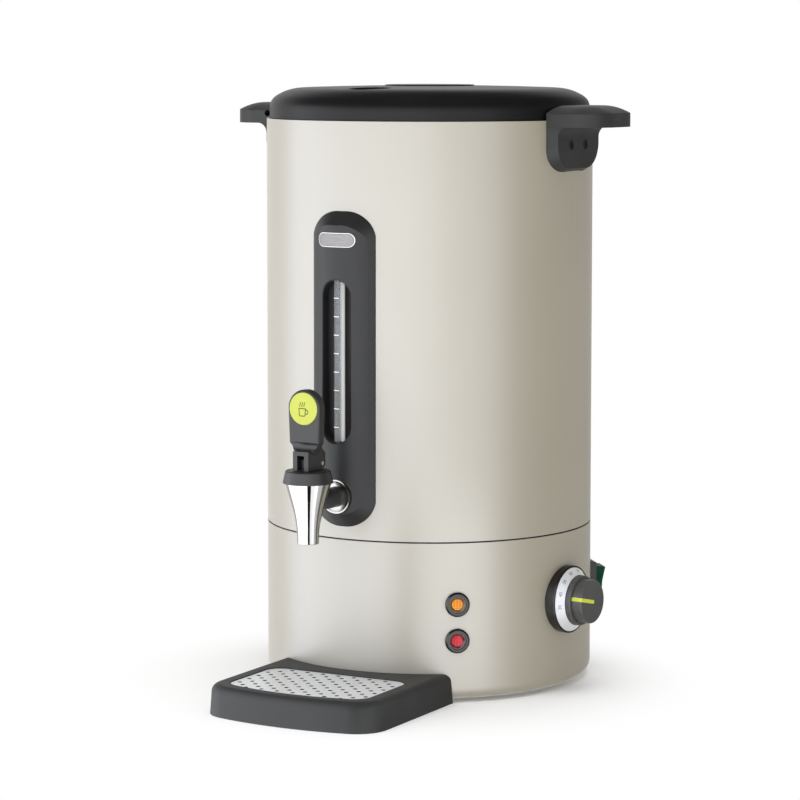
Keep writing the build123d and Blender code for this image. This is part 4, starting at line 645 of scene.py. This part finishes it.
def disc_mug():
    """Plain mug with three curls of steam, printed on the lever's disc."""
    mug = start("disc_mug", bpy.ops.mesh.primitive_plane_add, size=1.0)
    bpy.ops.transform.resize(value=(MUG_WIDTH, MUG_HEIGHT, 1))
    pick(mug, "vertices", lambda point: point.co.y < 0)
    bpy.ops.transform.resize(value=(MUG_FOOT_SHARE, 1, 1))
    bpy.ops.mesh.bevel(offset=MUG_CORNER, segments=5, affect="VERTICES")
    cut_to_line(MUG_LINE)
    disc_print(mug, MUG_PLACE)
    ear = start("disc_mug_ear", bpy.ops.mesh.primitive_circle_add, vertices=40, radius=EAR_RADIUS,
                fill_type="NGON")
    cut_to_line(EAR_LINE)
    bpy.ops.mesh.select_all(action="SELECT")
    bpy.ops.mesh.bisect(plane_co=(EAR_CUT, 0, 0), plane_no=(1, 0, 0), clear_inner=True)
    disc_print(ear, EAR_PLACE)
    for number, aside in enumerate(STEAM_ASIDE):
        disc_print(disc_steam(f"disc_steam_{number}"), (aside, STEAM_HEIGHT, 0))


# Marks on the rocker, in its own frame: its tilt at rest, its pivot and its two sloping faces
ROCKER_PRINT_DEPTH = 0.08 * MM
ROCKER_TILT, ROCKER_SLOPE = radians(8), atan2(0.8, 11.0)
ROCKER_PIVOT, ROCKER_FACE, MARK_UP = 4.0 * MM, 12.8 * MM, 5.5 * MM
BAR_WIDTH, BAR_LENGTH = 0.9 * MM, 5.0 * MM
RING_RADIUS, RING_LINE = 2.3 * MM, 0.7 * MM


def rocker_mark(name, side):
    """White mark on the upper half (side 1) or the lower half (side -1) of the rocker."""
    if side < 0:
        mark = start(name, bpy.ops.mesh.primitive_grid_add, x_subdivisions=1, y_subdivisions=4,
                     size=1.0)
        bpy.ops.transform.resize(value=(BAR_WIDTH, BAR_LENGTH, 1))
    else:
        mark = start(name, bpy.ops.mesh.primitive_circle_add, vertices=48, radius=RING_RADIUS,
                     fill_type="NGON")
        cut_to_line(RING_LINE)
    bpy.ops.object.mode_set(mode="OBJECT")
    apply(mark, "SOLIDIFY", thickness=ROCKER_PRINT_DEPTH, offset=1.0)
    up, out = MARK_UP * side, ROCKER_FACE - ROCKER_PIVOT
    middle = Vector((0, up * cos(ROCKER_TILT) - out * sin(ROCKER_TILT),
                     ROCKER_PIVOT + out * cos(ROCKER_TILT) + up * sin(ROCKER_TILT)))
    facing = Matrix.Rotation(ROCKER_SLOPE * side + ROCKER_TILT, 4, "X")
    place = wall_place(SWITCH_ANGLE, SWITCH_HEIGHT) @ Matrix.Translation(middle) @ facing
    settle(mark, place, WHITE_INK_PAINTED_GLOW, "rocker")


# Painted highlight and painted shade strips round the sight tube, then the printed ticks
for name, low, high, finish in PAINTED_LIGHT_STRIPS:
    tube_print(name, STRIP_RADIUS, STRIP_LENGTH, STRIP_MIDDLE, low, high, finish)
for number in range(TICK_COUNT):
    tube_print(f"gauge_tick_{number + 1}", TICK_RADIUS, TICK_LENGTH,
               TICK_LOW + TICK_PITCH * number, TICK_FROM, TICK_TO, WHITE_INK_PAINTED_GLOW)
for number, turn in DIAL_NUMBERS.items():
    dial_number(number, radians(turn))
lamp_lens("amber", AMBER_HEIGHT, AMBER, AMBER_RING)
lamp_lens("red", RED_HEIGHT, RED, RED_RING)
disc_mug()
rocker_mark("rocker_bar", -1)
rocker_mark("rocker_ring", 1)

# Floor, light and camera: bearings run from the camera to the right
CAMERA_TURN = radians(30.8)
FLOOR_SIZE, FLOOR_MIDDLE_Y = 60.0, -0.05
FLOOR_SHADED, FLOOR_WHITE = 0.11, 0.24
AMBIENT, AMBIENT_FALL = 0.5, 0.03
OVERHEAD_START, OVERHEAD_END, OVERHEAD_LEVEL, OVERHEAD_LEAN = 0.12, 0.42, 0.08, 0.28
RIGHT_START, RIGHT_END, RIGHT_LEVEL = radians(30), radians(80), 0.36
BEHIND_START, BEHIND_END = radians(150), radians(178)
PANEL_AWAY, PANEL_LOW, PANEL_HIGH = 0.60, -0.45, 0.56
COOL = (0.91, 1.0, 1.20)
TAP_PLACE = (0, -0.165, 0)


def floor_finish():
    """Pale floor that takes the part's shadow and goes over into pure white."""
    ground = Finish("floor_pale", Roughness=0.9, Specular_IOR_Level=0.0)
    where = ground.place()
    ground.feed("Base Color", ground.mix(ground.noise(where, scale=3.0),
                                         linear(248, 248, 248), linear(250, 250, 250)))
    x, y, z = ground.axes(where)
    off = y - FLOOR_MIDDLE_Y
    far = ground.fade((x * x + off * off).root(), FLOOR_SHADED, FLOOR_WHITE, 0.0, 1.0)
    shaded = Value(ground, ground.shader.outputs[0])
    white = ground.node("ShaderNodeEmission", None, WHITE, 1.0)
    both = ground.node("ShaderNodeMixShader", None, far, shaded, white)
    ground.tree.links.new(both.socket, ground.tree.nodes["Material Output"].inputs[0])
    return ground.material


def white_world():
    """White for the camera, shaded for reflections from above and the right, grey for the rest."""
    surround = Surround("studio")
    x, y, z = surround.axes(surround.node("ShaderNodeTexCoord", out="Generated"))
    towards = x * sin(CAMERA_TURN) - y * cos(CAMERA_TURN)
    aside = x * cos(CAMERA_TURN) + y * sin(CAMERA_TURN)
    bearing = aside.math("ARCTAN2", towards)
    height = z - (0 - towards).larger(0.0) * OVERHEAD_LEAN
    overhead = surround.fade(height, OVERHEAD_START, OVERHEAD_END, 1.0, OVERHEAD_LEVEL)
    right_hand = surround.fade(bearing, RIGHT_START, RIGHT_END, 1.0, RIGHT_LEVEL)
    behind = surround.fade(bearing, BEHIND_START, BEHIND_END, RIGHT_LEVEL, 1.0)
    seen, passed, glossy = [surround.node("ShaderNodeLightPath", out=f"Is {ray} Ray")
                            for ray in ("Camera", "Transmission", "Glossy")]
    plain = seen.larger(passed)
    white = surround.node("ShaderNodeBackground", None, WHITE,
                          plain.larger(overhead * right_hand.larger(behind)))
    ambient = surround.node("ShaderNodeBackground", None, WHITE, AMBIENT - aside * AMBIENT_FALL)
    both = surround.node("ShaderNodeMixShader", None, plain.larger(glossy), ambient, white)
    surround.tree.links.new(both.socket, surround.tree.nodes["World Output"].inputs[0])
    return surround.world


def stage_plane(name, size, finish):
    """Flat plane of the set, at the origin."""
    bpy.ops.object.select_all(action="DESELECT")
    bpy.ops.mesh.primitive_plane_add(size=size)
    plane = bpy.context.object
    plane.name = name
    plane.data.materials.append(finish)
    return plane


def studio():
    """Floor and world of the set."""
    floor = stage_plane("floor", FLOOR_SIZE, floor_finish())
    floor.visible_glossy = False
    bpy.context.scene.world = white_world()


def dark_card(name, origin, bearing, away, width, low, high):
    """Upright dark card in front of a place, seen only in glossy surfaces."""
    card = stage_plane(name, 1.0, CARD_BLACK)
    turn = CAMERA_TURN + radians(bearing)
    across, up = Vector((cos(turn), sin(turn), 0)), Vector((0, 0, 1))
    outwards = Vector((sin(turn), -cos(turn), 0))
    facing = Matrix((across * width, up * (high - low), outwards)).transposed().to_4x4()
    middle = Vector(origin) + outwards * away + up * (high + low) / 2
    card.data.transform(Matrix.Translation(middle) @ facing)
    card.visible_camera = card.visible_diffuse = False
    card.visible_shadow = card.visible_transmission = False


def soft_box(name, place, target, width, height, power, sheen=True, fill=True, tint=(1, 1, 1)):
    """Soft lamp for gloss (sheen), for matt light (fill) or for both."""
    lamp = bpy.data.lights.new(name, "AREA")
    lamp.shape = "RECTANGLE"
    lamp.size, lamp.size_y = width, height
    lamp.energy = power
    lamp.color = tint
    holder = bpy.data.objects.new(name, lamp)
    bpy.context.scene.collection.objects.link(holder)
    holder.location = place
    holder.rotation_euler = (Vector(target) - Vector(place)).to_track_quat("-Z", "Y").to_euler()
    holder.visible_glossy = sheen
    holder.visible_diffuse = fill
    holder.visible_camera = False


def sheen_panel(name, bearing, half_angle, level):
    """Upright white panel round the set, seen only in glossy surfaces."""
    turn = CAMERA_TURN + radians(bearing)
    width = 2 * PANEL_AWAY * tan(radians(half_angle))
    height, middle = PANEL_HIGH - PANEL_LOW, (PANEL_HIGH + PANEL_LOW) / 2
    place = (PANEL_AWAY * sin(turn), -PANEL_AWAY * cos(turn), middle)
    soft_box(name, place, (0, 0, middle), width, height, level * pi * width * height,
             fill=False, tint=COOL)


def photo_camera():
    """The photograph's view: pitched a little, with a small shift."""
    turn, yaw, pitch, roll = CAMERA_TURN, 0.01006, 0.08482, 0.00063
    distance, aside, height = 2.30365, 0.00052, 0.48015
    focal_px, picture_px, sensor, shift = 3007.5, 800, 36.0, -0.12
    eye = Vector((distance * sin(turn) + aside * cos(turn),
                  -distance * cos(turn) + aside * sin(turn), height))
    ahead = Vector((-sin(turn + yaw) * cos(pitch), cos(turn + yaw) * cos(pitch), -sin(pitch)))
    right = ahead.cross(Vector((0, 0, 1))).normalized()
    up = right.cross(ahead)
    right, up = right * cos(roll) + up * sin(roll), up * cos(roll) - right * sin(roll)
    view = bpy.data.cameras.new("photo_view")
    view.sensor_width = sensor
    view.lens = focal_px * sensor / picture_px
    view.shift_y = shift
    view.clip_start, view.clip_end = 0.05, 100.0
    holder = bpy.data.objects.new("photo_view", view)
    bpy.context.scene.collection.objects.link(holder)
    facing = Matrix((right, up, -ahead)).transposed().to_4x4()
    holder.matrix_world = Matrix.Translation(eye) @ facing
    bpy.context.scene.camera = holder


studio()
dark_card("front_card", TAP_PLACE, bearing=7, away=0.16, width=0.056, low=0.0, high=0.120)
soft_box("tap_card", place=(0.16, -0.16, 0.07), target=(0, -0.165, 0.09), width=0.13, height=0.14,
         power=0.06, fill=False, tint=COOL)
sheen_panel("left_panel", bearing=-76, half_angle=29, level=2.8)
sheen_panel("front_panel", bearing=-20, half_angle=27, level=3.1)
sheen_panel("right_panel", bearing=27, half_angle=19, level=1.75)
soft_box("left_key", place=(-1.6, -2.0, 1.0), target=(0, 0, 0.22), width=1.8, height=1.8,
         power=3.0, sheen=False)
soft_box("top", place=(0.0, -0.2, 2.4), target=(0, 0, 0.2), width=1.8, height=1.8,
         power=40.0, sheen=False)
photo_camera()
bpy.context.scene.view_settings.view_transform = "Standard"
